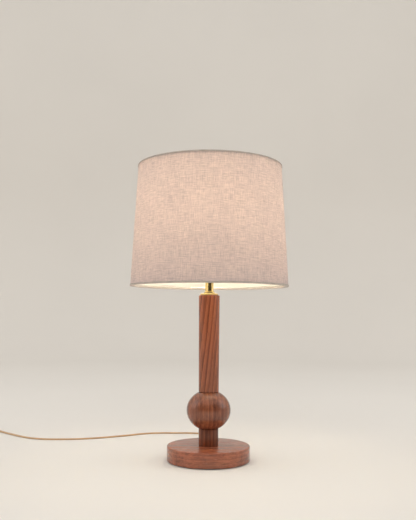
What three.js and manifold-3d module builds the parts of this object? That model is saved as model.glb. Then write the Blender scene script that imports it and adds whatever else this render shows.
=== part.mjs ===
// A table lamp: a turned wooden stem on a round base, a brass neck, and a tapered drum shade held by a
// harp over a keyed bulb socket. Millimetres, +Z up, origin at the middle of the felt's underside.
// The lamp's cord leaves the back of the base (+Y), runs over the table to the left (-X) and is coiled.

import * as THREE from "three";
import { mergeVertices } from "three/addons/utils/BufferGeometryUtils.js";
import Module from "manifold-3d";

const wasm = await Module();
wasm.setup();

// ---------------------------------------------------------------- driving dimensions

// Fits
const gap = 0.3; // left between pieces that touch
const slip = 0.3; // radial clearance of a piece that slides or turns in another
const round = 36; // facets of a large turned piece
const small = 16; // facets of a small turned piece

// Felt and base
const feltInset = 4.7; // from the base's rim in to the felt's edge
const feltThickness = 2;
const baseRadius = 67;
const baseHeight = 24;
const baseLift = 1; // the wooden rim's height over the table
const baseEdge = 1.6; // rounding of the rim
const hollowRadius = 44;
const hollowDepth = 16; // depth of the underside's hollow above the rim
const cordHoleRise = 8; // height of the rear cord hole above the rim
const cordHoleOverrun = 8; // how far the cord hole runs into the hollow
const footChamfer = 0.8; // under the rim

// Wooden stem
const neckRadius = 16;
const neckLength = 26.7;
const ballRadius = 35.6;
const ballHalfHeight = 32.8; // of the full ball, before its flats
const columnFootRadius = 16.4;
const columnTopRadius = 16.9;
const columnLength = 155.9;
const columnEdge = 1.8;

// Threaded rod, washer, nut and ballast
const rodRadius = 4.8;
const rodBore = 3.2;
const rodProud = 0.5; // of the rod past its nut
const rodShort = 0.9; // of the rod under the cap's floor
const washerRadius = 12;
const washerThickness = 1.5;
const nutAcrossFlats = 16.2;
const nutThickness = 3.6;
const ballastThickness = 11;
const ballastBore = 16;
const ballastSlot = 14; // width of the slot that the cord passes

// Brass on top of the column
const checkRingRadius = 14.5;
const checkRingThickness = 2.4;
const brassNeckWall = 1.5; // at the top of the tube
const brassNeckTaper = 0.4; // added to the radius at the tube's foot
const brassFlangeOverhang = 1.7; // of the flange past the tube's foot
const brassNeckLength = 27;

// Harp
const saddleThickness = 1.6;
const saddleRim = 0.9; // of strip left on each side of the rod's hole
const harpLegSpacing = 58;
const prongRadius = 1.9;
const prongHeight = 9.4;
const harpWireRadius = 2.2;
const harpRise = 158; // from the saddle's top to the middle of the wire at the crown
const harpHalfWidth = 57;
const sleeveWall = 1;
const sleeveLength = 15;
const crownRadius = 7;
const crownHeight = 6.4;
const studRadius = 3.1;
const studFlangeRadius = 7;
const studFlangeThickness = 1.8;
const studLength = 14; // above its flange

// Socket
const capHeight = 22;
const capRadius = 17.2;
const capWall = 1;
const capFloorRise = 7.2; // from the cap's foot to its inner floor
const capOverlap = 8; // how far the shell goes into the cap
const hubRadius = 8;
const shellWall = 0.8;
const shellHeight = 44;
const insulatorWall = 0.6;
const insulatorHeight = 38;
const insulatorRise = 3; // from the shell's foot to the insulator's
const interiorHeight = 15.4;
const switchOffset = 1; // of the switch above the interior's middle
const screwShellWall = 0.6;
const screwShellHeight = 20;
const contactRadius = 3;
const contactHeight = 1.6;
const terminalRadius = 2.4;
const terminalLength = 6;
const terminalSpacing = 17;
const shaftRadius = 1.8;
const knobRadius = 5;
const knobLength = 13;
const knobReach = 3; // from the shell's wall to the knob

// Bulb
const bulbTipRadius = 4.5;
const bulbTipHeight = 2;
const bulbBaseWall = 0.7;
const bulbBaseHeight = 23;
const bulbBaseWeb = 3.5; // thickness of the cup's floor
const glassSeat = 5; // of the glass above the cup's floor
const glassWall = 0.8;
const glassRadius = 30;
const glassHeight = 93;
const stemHeight = 50;
const stemClear = 7; // from the glass neck to the stem
const leadClear = 4.5; // from the glass neck to the filament's leads
const filamentRadius = 0.5;
const filamentSpan = 24;

// Shade
const shadeBottomRadius = 127;
const shadeTopRadius = 115;
const shadeHeight = 191;
const shadeRecess = 8.8; // from the spider's washer up to the top rim
const fabricWall = 1;
const linerWall = 0.8;
const hemWall = 0.5;
const hemHeight = 1.8;
const ringWireRadius = 1.5;
const spiderWasherRadius = 13;
const spiderWasherThickness = 1.5;
const spiderArms = 3;
const finialHeight = 24;
const finialRadius = 7.5;

// Cord, strain relief, coil and plug
const cordWidth = 5.4;
const cordThickness = 2.8;
const reliefBossRadius = 4;
const reliefBossLength = 16;
const reliefFlangeRadius = 6.2;
const reliefFlangeThickness = 2;
const reliefTaperLength = 23;
const reliefTipRadius = 3.6;
const coilInnerTurn = 29.4; // radius of the inner column of turns
const coilOuterTurn = 35.2;
const coilHeight = 11.6;
const coilCentre = new THREE.Vector2(-469, 262);
const tieWall = 0.5;
const tieWidth = 7;
const tailLength = 26;
const plugLength = 34;
const plugWidth = 24;
const plugThickness = 14;
const bladeLength = 17;
const bladeWidth = 6.3;
const bladeThickness = 1.5;
const bladeSpacing = 12.7;

// The cord's lead from the strain relief to the coil, chosen along the table
const leadRoute = [
  [0, 100, 9],
  [0, 112, 7.8],
  [0, 126, 4.8],
  [0, 141, 2.2],
  [0, 156, 1.5],
  [0, 180, 1.5],
  [0, 206, 1.5],
  [-4, 224, 1.5],
  [-15, 238, 1.5],
  [-33, 243, 1.5],
  [-64, 243, 1.5],
  [-96, 242, 1.5],
  [-127, 233, 1.5],
  [-156, 214, 1.5],
  [-186, 197, 1.5],
  [-214, 183, 1.5],
  [-245, 173, 1.5],
  [-280, 169, 1.5],
  [-308, 170, 1.5],
  [-336, 180, 1.5],
  [-358, 196, 1.5],
  [-378, 214, 1.5],
  [-399, 234, 1.5],
  [-414, 249, 1.6],
  [-428.4, 263.1, 1.9],
];

// ---------------------------------------------------------------- heights, worked out upwards

const baseTop = baseLift + baseHeight;
const feltRadius = baseRadius - feltInset;
const hollowTop = baseLift + hollowDepth;
const feltSeat = feltThickness + gap;
const rodClear = rodRadius + slip;
const brassNeckTopRadius = rodClear + brassNeckWall;
const brassNeckRadius = brassNeckTopRadius + brassNeckTaper;
const brassFlangeRadius = brassNeckRadius + brassFlangeOverhang;
const neckFoot = baseTop + gap;
const neckTop = neckFoot + neckLength;
const ballFlat = ballHalfHeight * Math.sqrt(1 - (neckRadius / ballRadius) ** 2);
const ballMiddle = neckTop + gap + ballFlat;
const columnFoot = ballMiddle + ballFlat + gap;
const columnTop = columnFoot + columnLength;
const checkRingFoot = columnTop + gap;
const brassFoot = checkRingFoot + checkRingThickness + gap;
const brassTop = brassFoot + brassNeckLength;
const saddleFoot = brassTop + gap;
const saddleWidth = 2 * (rodClear + saddleRim);
const saddleTop = saddleFoot + saddleThickness;
const capFoot = saddleTop + gap;
const capFloor = capFoot + capFloorRise;
const capTop = capFoot + capHeight;
const rodFoot = hollowTop - gap - washerThickness - gap - nutThickness - rodProud;
const rodTop = capFloor - rodShort;

const shellRadius = capRadius - capWall - slip;
const shellFoot = capTop - capOverlap;
const shellTop = shellFoot + shellHeight;
const insulatorRadius = shellRadius - shellWall - gap;
const insulatorFoot = shellFoot + insulatorRise;
const interiorRadius = insulatorRadius - insulatorWall - gap;
const interiorFoot = insulatorFoot;
const interiorTop = interiorFoot + interiorHeight;
const switchHeight = interiorFoot + interiorHeight / 2 + switchOffset;
const screwShellFoot = interiorTop + gap;
const screwShellBore = interiorRadius - screwShellWall;

const bulbTipFoot = screwShellFoot + contactHeight + gap;
const bulbBaseFoot = bulbTipFoot + bulbTipHeight + gap;
const bulbBaseRadius = screwShellBore - slip;
const bulbBaseFloor = bulbBaseFoot + bulbBaseWeb;
const glassNeckRadius = bulbBaseRadius - bulbBaseWall - gap;
const glassFoot = bulbBaseFloor + glassSeat;

const prongTop = saddleTop + prongHeight;
const legFoot = prongTop + gap;
const crownMiddle = saddleTop + harpRise;
const crownTop = crownMiddle + crownHeight / 2;
const sleeveBore = harpWireRadius + slip;
const sleeveFoot = prongTop - sleeveLength / 3;
const studFlangeFoot = crownTop + gap;
const studFlangeTop = studFlangeFoot + studFlangeThickness;
const spiderFoot = studFlangeTop + gap;
const spiderTop = spiderFoot + spiderWasherThickness;
const finialFoot = spiderTop + gap;
const rimTop = spiderTop + shadeRecess;
const rimBottom = rimTop - shadeHeight;

const cordHoleHeight = baseLift + cordHoleRise;
const reliefFlangeAt = baseRadius + gap;
const reliefTip = reliefFlangeAt + reliefFlangeThickness + reliefTaperLength;

// ---------------------------------------------------------------- shape helpers

// A turned solid about +Z from [radius, height] points; a profile that leaves the axis closes on itself.
function turned(profile, facets = small) {
  const points = profile.map(([r, z]) => new THREE.Vector2(r, z));
  if (points[0].x > 0) points.push(points[0].clone());
  if (THREE.ShapeUtils.area(points) < 0) points.reverse();
  return new THREE.LatheGeometry(points, facets).rotateX(Math.PI / 2);
}

function puck(radius, foot, top, facets = small) {
  return turned([[0, foot], [radius, foot], [radius, top], [0, top]], facets);
}

// A tube-like ring profile between two radii and two heights.
function washer(inner, outer, foot, top, facets = small) {
  return turned([[inner, foot], [outer, foot], [outer, top], [inner, top]], facets);
}

// A quarter-round from [radius, height] points around a rim's corner.
function roundedCorner(radius, height, edge, from, to, steps = 4) {
  return Array.from({ length: steps + 1 }, (_, i) => {
    const angle = from + ((to - from) * i) / steps;
    return [radius + edge * Math.cos(angle), height + edge * Math.sin(angle)];
  });
}

// An even-sided polygon whose flats lie at the given width and height.
function polygon(sides, width, height = width) {
  const shape = new THREE.Shape();
  const reach = 0.5 / Math.cos(Math.PI / sides);
  for (let i = 0; i < sides; i++) {
    const angle = ((i + 0.5) / sides) * 2 * Math.PI;
    shape[i ? "lineTo" : "moveTo"](Math.cos(angle) * width * reach, Math.sin(angle) * height * reach);
  }
  return shape.closePath();
}

function curveThrough(points) {
  return new THREE.CatmullRomCurve3(points.map((p) => new THREE.Vector3(...p)), false, "centripetal");
}

function sweep(section, points, steps) {
  const extrudePath = curveThrough(points);
  return new THREE.ExtrudeGeometry(section, { steps, bevelEnabled: false, extrudePath });
}

function plate(shape, foot, thickness, curveSegments = 16) {
  const options = { depth: thickness, bevelEnabled: false, curveSegments };
  return new THREE.ExtrudeGeometry(shape, options).translate(0, 0, foot);
}

function box(x0, x1, y0, y1, z0, z1) {
  const centre = [(x0 + x1) / 2, (y0 + y1) / 2, (z0 + z1) / 2];
  return new THREE.BoxGeometry(x1 - x0, y1 - y0, z1 - z0).translate(...centre);
}

function solid(geometry) {
  const bare = geometry.clone();
  bare.deleteAttribute("normal");
  bare.deleteAttribute("uv");
  const merged = mergeVertices(bare, 1e-3);
  const vertProperties = new Float32Array(merged.attributes.position.array);
  const triVerts = new Uint32Array(merged.index.array);
  return new wasm.Manifold(new wasm.Mesh({ numProp: 3, vertProperties, triVerts }));
}

function geometryOf(manifold) {
  const mesh = manifold.getMesh();
  const geometry = new THREE.BufferGeometry();
  geometry.setAttribute("position", new THREE.BufferAttribute(mesh.vertProperties, 3));
  geometry.setIndex(new THREE.BufferAttribute(mesh.triVerts, 1));
  geometry.computeVertexNormals();
  return geometry;
}

function cut(geometry, ...tools) {
  return geometryOf(tools.reduce((left, tool) => left.subtract(solid(tool)), solid(geometry)));
}

function join(first, ...others) {
  return geometryOf(others.reduce((sum, other) => sum.add(solid(other)), solid(first)));
}

// ---------------------------------------------------------------- finishes

const finishes = {
  felt: [0x2f2b28, 1, 0],
  walnut: [0x8b5843, 0.5, 0],
  iron: [0x3c3b3a, 0.7, 0.8],
  steel: [0xb9b9b6, 0.35, 1],
  brass: [0xc9a04e, 0.28, 1],
  phenolic: [0x1d1a19, 0.4, 0],
  ceramic: [0xe8e4da, 0.35, 0],
  card: [0x9a7b52, 0.9, 0],
  aluminium: [0xc9cbcc, 0.35, 1],
  glass: [0xfff4e0, 0.1, 0],
  tungsten: [0x6c6a68, 0.5, 1],
  linen: [0xdcc3b0, 0.95, 0],
  liner: [0xf6ecda, 0.8, 0],
  tape: [0xc2b5aa, 0.95, 0],
  cord: [0xc4a077, 0.35, 0],
  plug: [0xb8966b, 0.45, 0],
};

const lamp = new THREE.Group();

const materials = Object.fromEntries(
  Object.entries(finishes).map(([name, [color, roughness, metalness]]) => [
    name,
    new THREE.MeshStandardMaterial({ color, roughness, metalness }),
  ]),
);

function place(name, geometry, finish, parent = lamp) {
  const mesh = new THREE.Mesh(geometry, materials[finish]);
  mesh.name = name;
  parent.add(mesh);
  return mesh;
}

// ---------------------------------------------------------------- base

function addBase() {
  place("felt_pad", puck(feltRadius, 0, feltThickness, round), "felt");

  const seatRadius = feltRadius + gap;
  const edge = baseRadius - baseEdge;
  const body = turned(
    [
      [rodClear, hollowTop],
      [hollowRadius, hollowTop],
      [hollowRadius, feltSeat],
      [seatRadius, feltSeat],
      [seatRadius, baseLift],
      [baseRadius - footChamfer, baseLift],
      [baseRadius, baseLift + footChamfer],
      ...roundedCorner(edge, baseTop - baseEdge, baseEdge, 0, Math.PI / 2),
      [rodClear, baseTop],
    ],
    round,
  );
  const holeRadius = reliefBossRadius + gap;
  const hole = new THREE.CylinderGeometry(holeRadius, holeRadius, baseRadius, small);
  hole.translate(0, hollowRadius - cordHoleOverrun + baseRadius / 2, cordHoleHeight);
  place("base_disc", cut(body, hole), "walnut");

  const outer = hollowRadius - gap;
  const outerSlot = Math.asin(ballastSlot / 2 / outer);
  const innerSlot = Math.asin(ballastSlot / 2 / ballastBore);
  const ring = new THREE.Shape();
  ring.absarc(0, 0, outer, Math.PI / 2 + outerSlot, Math.PI / 2 - outerSlot + 2 * Math.PI, false);
  ring.absarc(0, 0, ballastBore, Math.PI / 2 - innerSlot + 2 * Math.PI, Math.PI / 2 + innerSlot, true);
  place("base_weight", plate(ring, hollowTop - gap - ballastThickness, ballastThickness, 20), "iron");

  const washerFoot = hollowTop - gap - washerThickness;
  place("bottom_washer", washer(rodClear, washerRadius, washerFoot, washerFoot + washerThickness), "steel");

  const hex = polygon(6, nutAcrossFlats);
  hex.holes.push(new THREE.Path().absarc(0, 0, rodClear, 0, 2 * Math.PI, true));
  place("bottom_nut", plate(hex, washerFoot - gap - nutThickness, nutThickness, 8), "brass");
}

// ---------------------------------------------------------------- stem

function addStem() {
  place("lower_neck", washer(rodClear, neckRadius, neckFoot, neckTop, round), "walnut");

  const half = Math.asin(ballFlat / ballHalfHeight);
  const steps = 10;
  const ball = Array.from({ length: steps + 1 }, (_, i) => {
    const angle = -half + (2 * half * i) / steps;
    return [ballRadius * Math.cos(angle), ballMiddle + ballHalfHeight * Math.sin(angle)];
  });
  const bore = [[rodClear, ballMiddle + ballFlat], [rodClear, ballMiddle - ballFlat]];
  place("ball", turned([...ball, ...bore], round), "walnut");

  const column = turned(
    [
      [rodClear, columnFoot],
      [columnFootRadius, columnFoot],
      ...roundedCorner(columnTopRadius - columnEdge, columnTop - columnEdge, columnEdge, 0, Math.PI / 2),
      [rodClear, columnTop],
    ],
    round,
  );
  place("column", column, "walnut");
  place("threaded_rod", washer(rodBore, rodRadius, rodFoot, rodTop), "steel");

  const rim = checkRingThickness / 2;
  const ring = [
    [rodClear, checkRingFoot],
    ...roundedCorner(checkRingRadius - rim, checkRingFoot + rim, rim, -Math.PI / 2, Math.PI / 2, 4),
    [rodClear, checkRingFoot + checkRingThickness],
  ];
  place("check_ring", turned(ring, round), "brass");

  const neck = [
    [rodClear, brassFoot],
    [brassFlangeRadius, brassFoot],
    [brassFlangeRadius, brassFoot + 2.2],
    [brassNeckRadius + 0.9, brassFoot + 3.2],
    [brassNeckRadius, brassFoot + 6],
    [brassNeckTopRadius, brassTop - 5],
    [brassFlangeRadius, brassTop - 1.4],
    [brassFlangeRadius, brassTop],
    [rodClear, brassTop],
  ];
  place("brass_neck", turned(neck, 24), "brass");
}

// ---------------------------------------------------------------- socket

function addSocket() {
  const inner = capRadius - capWall;
  const cap = [
    [rodClear, capFoot],
    [hubRadius, capFoot],
    [hubRadius, capFoot + 5],
    [capRadius - 1.6, capFoot + 9],
    [capRadius, capFoot + 12],
    [capRadius, capTop],
    [inner, capTop],
    [inner, capFoot + 13],
    [inner - 1.4, capFoot + 10.4],
    [hubRadius, capFloor],
    [rodClear, capFloor],
  ];
  place("socket_cap", turned(cap, 20), "brass");

  const shaftHole = (radius) =>
    new THREE.CylinderGeometry(radius, radius, capRadius, 16).translate(0, -capRadius, switchHeight);
  const bore = shellRadius - shellWall;
  const bead = 0.9;
  const shell = [
    [shellRadius, shellFoot],
    [shellRadius, shellTop - 3],
    [shellRadius + bead, shellTop - 2],
    [shellRadius + bead, shellTop - 1],
    [shellRadius, shellTop],
    [bore, shellTop],
    [bore, shellFoot],
  ];
  place("socket_shell", cut(turned(shell, 20), shaftHole(shaftRadius + 1)), "brass");

  const insulatorTop = insulatorFoot + insulatorHeight;
  const sleeve = washer(insulatorRadius - insulatorWall, insulatorRadius, insulatorFoot, insulatorTop, 20);
  place("socket_insulator", cut(sleeve, shaftHole(shaftRadius + 0.8)), "card");

  const body = puck(interiorRadius, interiorFoot, interiorTop);
  place("socket_interior", cut(body, shaftHole(shaftRadius + slip)), "ceramic");

  const screwShellTop = screwShellFoot + screwShellHeight;
  const screwShell = washer(screwShellBore, interiorRadius, screwShellFoot, screwShellTop);
  place("screw_shell", screwShell, "aluminium");
  place("centre_contact", puck(contactRadius, screwShellFoot, screwShellFoot + contactHeight), "brass");

  for (const [name, side, finish] of [["line_terminal", 1, "brass"], ["neutral_terminal", -1, "steel"]]) {
    const top = interiorFoot - gap;
    const screw = [
      [0, top - terminalLength],
      [terminalRadius, top - terminalLength],
      [terminalRadius, top - terminalLength + 2],
      [terminalRadius * 0.6, top - terminalLength + 2],
      [terminalRadius * 0.6, top],
      [0, top],
    ];
    place(name, turned(screw, 12).translate((side * terminalSpacing) / 2, 0, 0), finish);
  }

  const knobInner = -(capRadius + knobReach);
  const shaftInner = -capRadius / 2 - gap;
  const shaftLength = shaftInner - knobInner - gap;
  const shaft = new THREE.CylinderGeometry(shaftRadius, shaftRadius, shaftLength, 16);
  place("switch_shaft", shaft.translate(0, shaftInner - shaftLength / 2, switchHeight), "steel");

  const hub = new THREE.CylinderGeometry(knobRadius, knobRadius * 0.8, knobLength * 0.5, 20);
  hub.translate(0, knobInner - knobLength / 4, switchHeight);
  const wing = box(
    -knobRadius * 1.3,
    knobRadius * 1.3,
    knobInner - knobLength,
    knobInner - knobLength * 0.3,
    switchHeight - 1.6,
    switchHeight + 1.6,
  );
  place("turn_knob", join(hub, wing), "phenolic");
}

// ---------------------------------------------------------------- harp

function addHarp() {
  const legX = harpLegSpacing / 2;
  const reach = legX + prongRadius + 1;
  const strip = box(-reach, reach, -saddleWidth / 2, saddleWidth / 2, saddleFoot, saddleTop);
  const prongs = [-1, 1].map((side) => {
    const prong = new THREE.CylinderGeometry(prongRadius, prongRadius, prongHeight + saddleThickness, 12);
    return prong.rotateX(Math.PI / 2).translate(side * legX, 0, (saddleFoot + prongTop) / 2);
  });
  const rodHole = new THREE.CylinderGeometry(rodClear, rodClear, 4 * saddleThickness, small);
  rodHole.rotateX(Math.PI / 2).translate(0, 0, saddleFoot + saddleThickness / 2);
  place("harp_saddle", cut(join(strip, ...prongs), rodHole), "brass");

  const straightTo = prongTop + 2 * sleeveLength;
  const bow = crownMiddle - straightTo;
  const right = [
    [legX, 0, legFoot],
    [legX, 0, (legFoot + straightTo) / 2],
    [legX, 0, straightTo - 4],
    [legX, 0, straightTo - 1],
    [legX + 1.2, 0, straightTo + 3],
    [legX + (harpHalfWidth - legX) * 0.55, 0, straightTo + bow * 0.2],
    [harpHalfWidth - 2, 0, straightTo + bow * 0.46],
    [harpHalfWidth, 0, straightTo + bow * 0.62],
    [harpHalfWidth * 0.9, 0, straightTo + bow * 0.81],
    [harpHalfWidth * 0.64, 0, straightTo + bow * 0.94],
    [harpHalfWidth * 0.32, 0, crownMiddle - 0.6],
    [crownRadius, 0, crownMiddle],
  ];
  const left = right.map(([x, y, z]) => [-x, y, z]).reverse();
  const wire = sweep(polygon(8, 2 * harpWireRadius), [...right, ...left], 48);
  const crown = puck(crownRadius, crownMiddle - crownHeight / 2, crownTop);
  const studHole = new THREE.CylinderGeometry(studRadius + slip, studRadius + slip, 3 * crownHeight, small);
  studHole.rotateX(Math.PI / 2).translate(0, 0, crownMiddle);
  place("harp", cut(join(wire, crown), studHole), "brass");

  const sleeve = [-1, 1].map((side) => {
    const tube = washer(sleeveBore, sleeveBore + sleeveWall, sleeveFoot, sleeveFoot + sleeveLength, 16);
    return tube.translate(side * legX, 0, 0);
  });
  place("harp_sleeve_left", sleeve[0], "brass");
  place("harp_sleeve_right", sleeve[1], "brass");

  const stud = [
    [0, crownMiddle - crownHeight / 2],
    [studRadius, crownMiddle - crownHeight / 2],
    [studRadius, studFlangeFoot],
    [studFlangeRadius, studFlangeFoot],
    [studFlangeRadius, studFlangeTop],
    [studRadius, studFlangeTop],
    [studRadius, studFlangeTop + studLength],
    [0, studFlangeTop + studLength],
  ];
  place("harp_stud", turned(stud), "brass");
}

// ---------------------------------------------------------------- bulb

function addBulb() {
  const tip = [
    [0, bulbTipFoot],
    [bulbTipRadius * 0.7, bulbTipFoot],
    [bulbTipRadius, bulbTipFoot + bulbTipHeight],
    [0, bulbTipFoot + bulbTipHeight],
  ];
  place("bulb_contact", turned(tip, 16), "steel");

  const bore = bulbBaseRadius - bulbBaseWall;
  const baseTopEdge = bulbBaseFoot + bulbBaseHeight;
  const cup = [
    [0, bulbBaseFoot],
    [bulbBaseRadius * 0.6, bulbBaseFoot],
    [bulbBaseRadius, bulbBaseFoot + 3],
    [bulbBaseRadius, baseTopEdge],
    [bore, baseTopEdge],
    [bore, bulbBaseFloor],
    [0, bulbBaseFloor],
  ];
  place("bulb_base", turned(cup), "aluminium");

  // The glass: a straight neck, a flare and a spherical crown.
  const top = glassFoot + glassHeight;
  const middle = top - glassRadius;
  const outline = (wall) => {
    const radius = glassRadius - wall;
    const flareFoot = baseTopEdge + 2;
    const points = [[glassNeckRadius - wall, glassFoot], [glassNeckRadius - wall, flareFoot]];
    const flare = new THREE.CubicBezierCurve(
      new THREE.Vector2(glassNeckRadius - wall, flareFoot),
      new THREE.Vector2(glassNeckRadius + 1 - wall, flareFoot + (middle - flareFoot) * 0.45),
      new THREE.Vector2(radius - 1, middle - (middle - flareFoot) * 0.5),
      new THREE.Vector2(radius, middle),
    );
    points.push(...flare.getPoints(6).slice(1).map((p) => [p.x, p.y]));
    const crown = roundedCorner(0, middle, radius, 0, Math.PI / 2, 6).slice(1);
    crown[crown.length - 1][0] = 0;
    return [...points, ...crown];
  };
  place("bulb_glass", turned([...outline(0), ...outline(glassWall).reverse()], 20), "glass");

  const stemFoot = bulbBaseFloor + gap;
  const stemRadius = glassNeckRadius - stemClear;
  const stem = [
    [0, stemFoot],
    [stemRadius, stemFoot],
    [stemRadius, stemFoot + 12],
    [2.4, stemFoot + 22],
    [1.8, stemFoot + stemHeight],
    [0, stemFoot + stemHeight],
  ];
  place("bulb_stem", turned(stem, 16), "glass");

  const wireTop = stemFoot + stemHeight + 6;
  const half = filamentSpan / 2;
  const lead = glassNeckRadius - leadClear;
  const wires = [
    [0.5 - lead, 0, stemFoot + 0.2],
    [-lead, 0, stemFoot + 20],
    [-half, 0, wireTop - 2],
    [-half * 0.5, 0, wireTop + 2],
    [0, 0, wireTop],
    [half * 0.5, 0, wireTop + 2],
    [half, 0, wireTop - 2],
    [lead, 0, stemFoot + 20],
    [lead - 0.5, 0, stemFoot + 0.2],
  ];
  place("filament", sweep(polygon(6, 2 * filamentRadius), wires, 28), "tungsten");
}

// ---------------------------------------------------------------- shade

const shadeRadius = (z) =>
  shadeBottomRadius + ((z - rimBottom) / shadeHeight) * (shadeTopRadius - shadeBottomRadius);

// A band that follows the shade's slope, from one distance inside the outer skin to another.
function conical(outerInset, innerInset, foot, top) {
  return turned(
    [
      [shadeRadius(foot) - outerInset, foot],
      [shadeRadius(top) - outerInset, top],
      [shadeRadius(top) - innerInset, top],
      [shadeRadius(foot) - innerInset, foot],
    ],
    round,
  );
}

// Edge tape folded over a rim: an outer leg, a bridge and an inner leg that hugs the given inset.
function foldedTape(rim, direction, innerInset) {
  const edge = rim + direction * gap;
  const outside = edge + direction * hemWall;
  const end = rim - direction * hemHeight;
  const at = (z, inset) => [shadeRadius(z) - inset, z];
  return turned(
    [
      at(end, -gap - hemWall),
      at(outside, -gap - hemWall),
      at(outside, innerInset + hemWall),
      at(end, innerInset + hemWall),
      at(end, innerInset),
      at(edge, innerInset),
      at(edge, -gap),
      at(end, -gap),
    ],
    round,
  );
}

function addShade() {
  const linerInset = fabricWall + gap;
  const linerInside = linerInset + linerWall;
  place("shade_fabric", conical(0, fabricWall, rimBottom, rimTop), "linen");
  place("shade_liner", conical(linerInset, linerInside, rimBottom, rimTop), "liner");

  const wireRing = (radius, height) => {
    const section = roundedCorner(radius, height, ringWireRadius, 0, 2 * Math.PI, 6).slice(0, 6);
    return turned(section, round);
  };
  const bottomRingHeight = rimBottom + ringWireRadius + 0.6;
  const bottomRingInset = linerInside + gap + 0.2 + ringWireRadius;
  place("bottom_ring", wireRing(shadeRadius(bottomRingHeight) - bottomRingInset, bottomRingHeight), "steel");
  place("bottom_hem", foldedTape(rimBottom, -1, bottomRingInset + ringWireRadius + gap + 0.2), "tape");
  place("top_hem", foldedTape(rimTop, 1, linerInside + gap), "tape");

  const ringHeight = rimTop - hemHeight / 2 - ringWireRadius;
  const ringRadius = shadeRadius(ringHeight) - linerInside - gap - hemWall - gap - 0.2 - ringWireRadius;
  const armHeight = (spiderFoot + spiderTop) / 2;
  const arms = Array.from({ length: spiderArms }, (_, i) => {
    const route = [
      [spiderWasherRadius * 0.75, 0, armHeight],
      [ringRadius * 0.5, 0, armHeight],
      [ringRadius * 0.86, 0, armHeight],
      [ringRadius * 0.95, 0, armHeight + (ringHeight - armHeight) * 0.3],
      [ringRadius, 0, ringHeight],
    ];
    const arm = sweep(polygon(6, 2 * ringWireRadius), route, 10);
    return arm.rotateZ(Math.PI / 2 + (i * 2 * Math.PI) / spiderArms);
  });
  const centre = washer(studRadius + slip, spiderWasherRadius, spiderFoot, spiderTop);
  place("spider_frame", join(centre, ...arms, wireRing(ringRadius, ringHeight)), "brass");

  const hole = studRadius + slip;
  const holeTop = finialFoot + studLength + 0.7;
  const finial = [
    [0, holeTop],
    [hole, holeTop],
    [hole, finialFoot],
    [finialRadius * 0.8, finialFoot],
    [finialRadius * 0.86, finialFoot + 2.4],
    [finialRadius * 0.6, finialFoot + 4.4],
    [finialRadius * 0.6, finialFoot + 7],
    [finialRadius * 0.95, finialFoot + 11],
    [finialRadius, finialFoot + 14.5],
    [finialRadius * 0.86, finialFoot + 18.5],
    [finialRadius * 0.45, finialFoot + 22.4],
    [0, finialFoot + finialHeight],
  ];
  place("finial", turned(finial), "brass");
}

// ---------------------------------------------------------------- cord and plug

// A stretch of the flat cord, whose thin side starts out along the given direction.
function flatCord(points, steps, thin) {
  const start = curveThrough(points).computeFrenetFrames(1).normals[0];
  const thinFirst = Math.abs(start.dot(thin)) > 0.7;
  const section = thinFirst
    ? polygon(8, cordThickness, cordWidth)
    : polygon(8, cordWidth, cordThickness);
  return sweep(section, points, steps);
}

function addInnerCord() {
  const bendFloor = rodFoot - 5.5;
  const route = [
    [0, 0, interiorFoot - 5],
    [0, 0, capFoot],
    [0, 0, columnTop - 60],
    [0, 0, columnFoot],
    [0, 0, baseTop],
    [0, 0, rodFoot + 3],
    [0, 0, rodFoot],
    [0, 1.7, rodFoot - 3.9],
    [0, 5.6, bendFloor],
    [0, 11, bendFloor + 0.4],
    [0, 24, cordHoleHeight - 0.6],
    [0, 34, cordHoleHeight],
    [0, reliefFlangeAt - reliefBossLength - gap, cordHoleHeight],
  ];
  place("inner_cord", flatCord(route, 60, new THREE.Vector3(0, 1, 0)), "cord");

  const boss = reliefFlangeAt - reliefBossLength;
  const relief = [
    [0, boss],
    [reliefBossRadius, boss],
    [reliefBossRadius, reliefFlangeAt],
    [reliefFlangeRadius, reliefFlangeAt],
    [reliefFlangeRadius, reliefFlangeAt + reliefFlangeThickness],
    [reliefBossRadius + 1, reliefFlangeAt + reliefFlangeThickness + 0.6],
    [reliefTipRadius, reliefTip],
    [0, reliefTip],
  ];
  place("strain_relief", turned(relief, 20).rotateX(-Math.PI / 2).translate(0, 0, cordHoleHeight), "cord");
}

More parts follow.
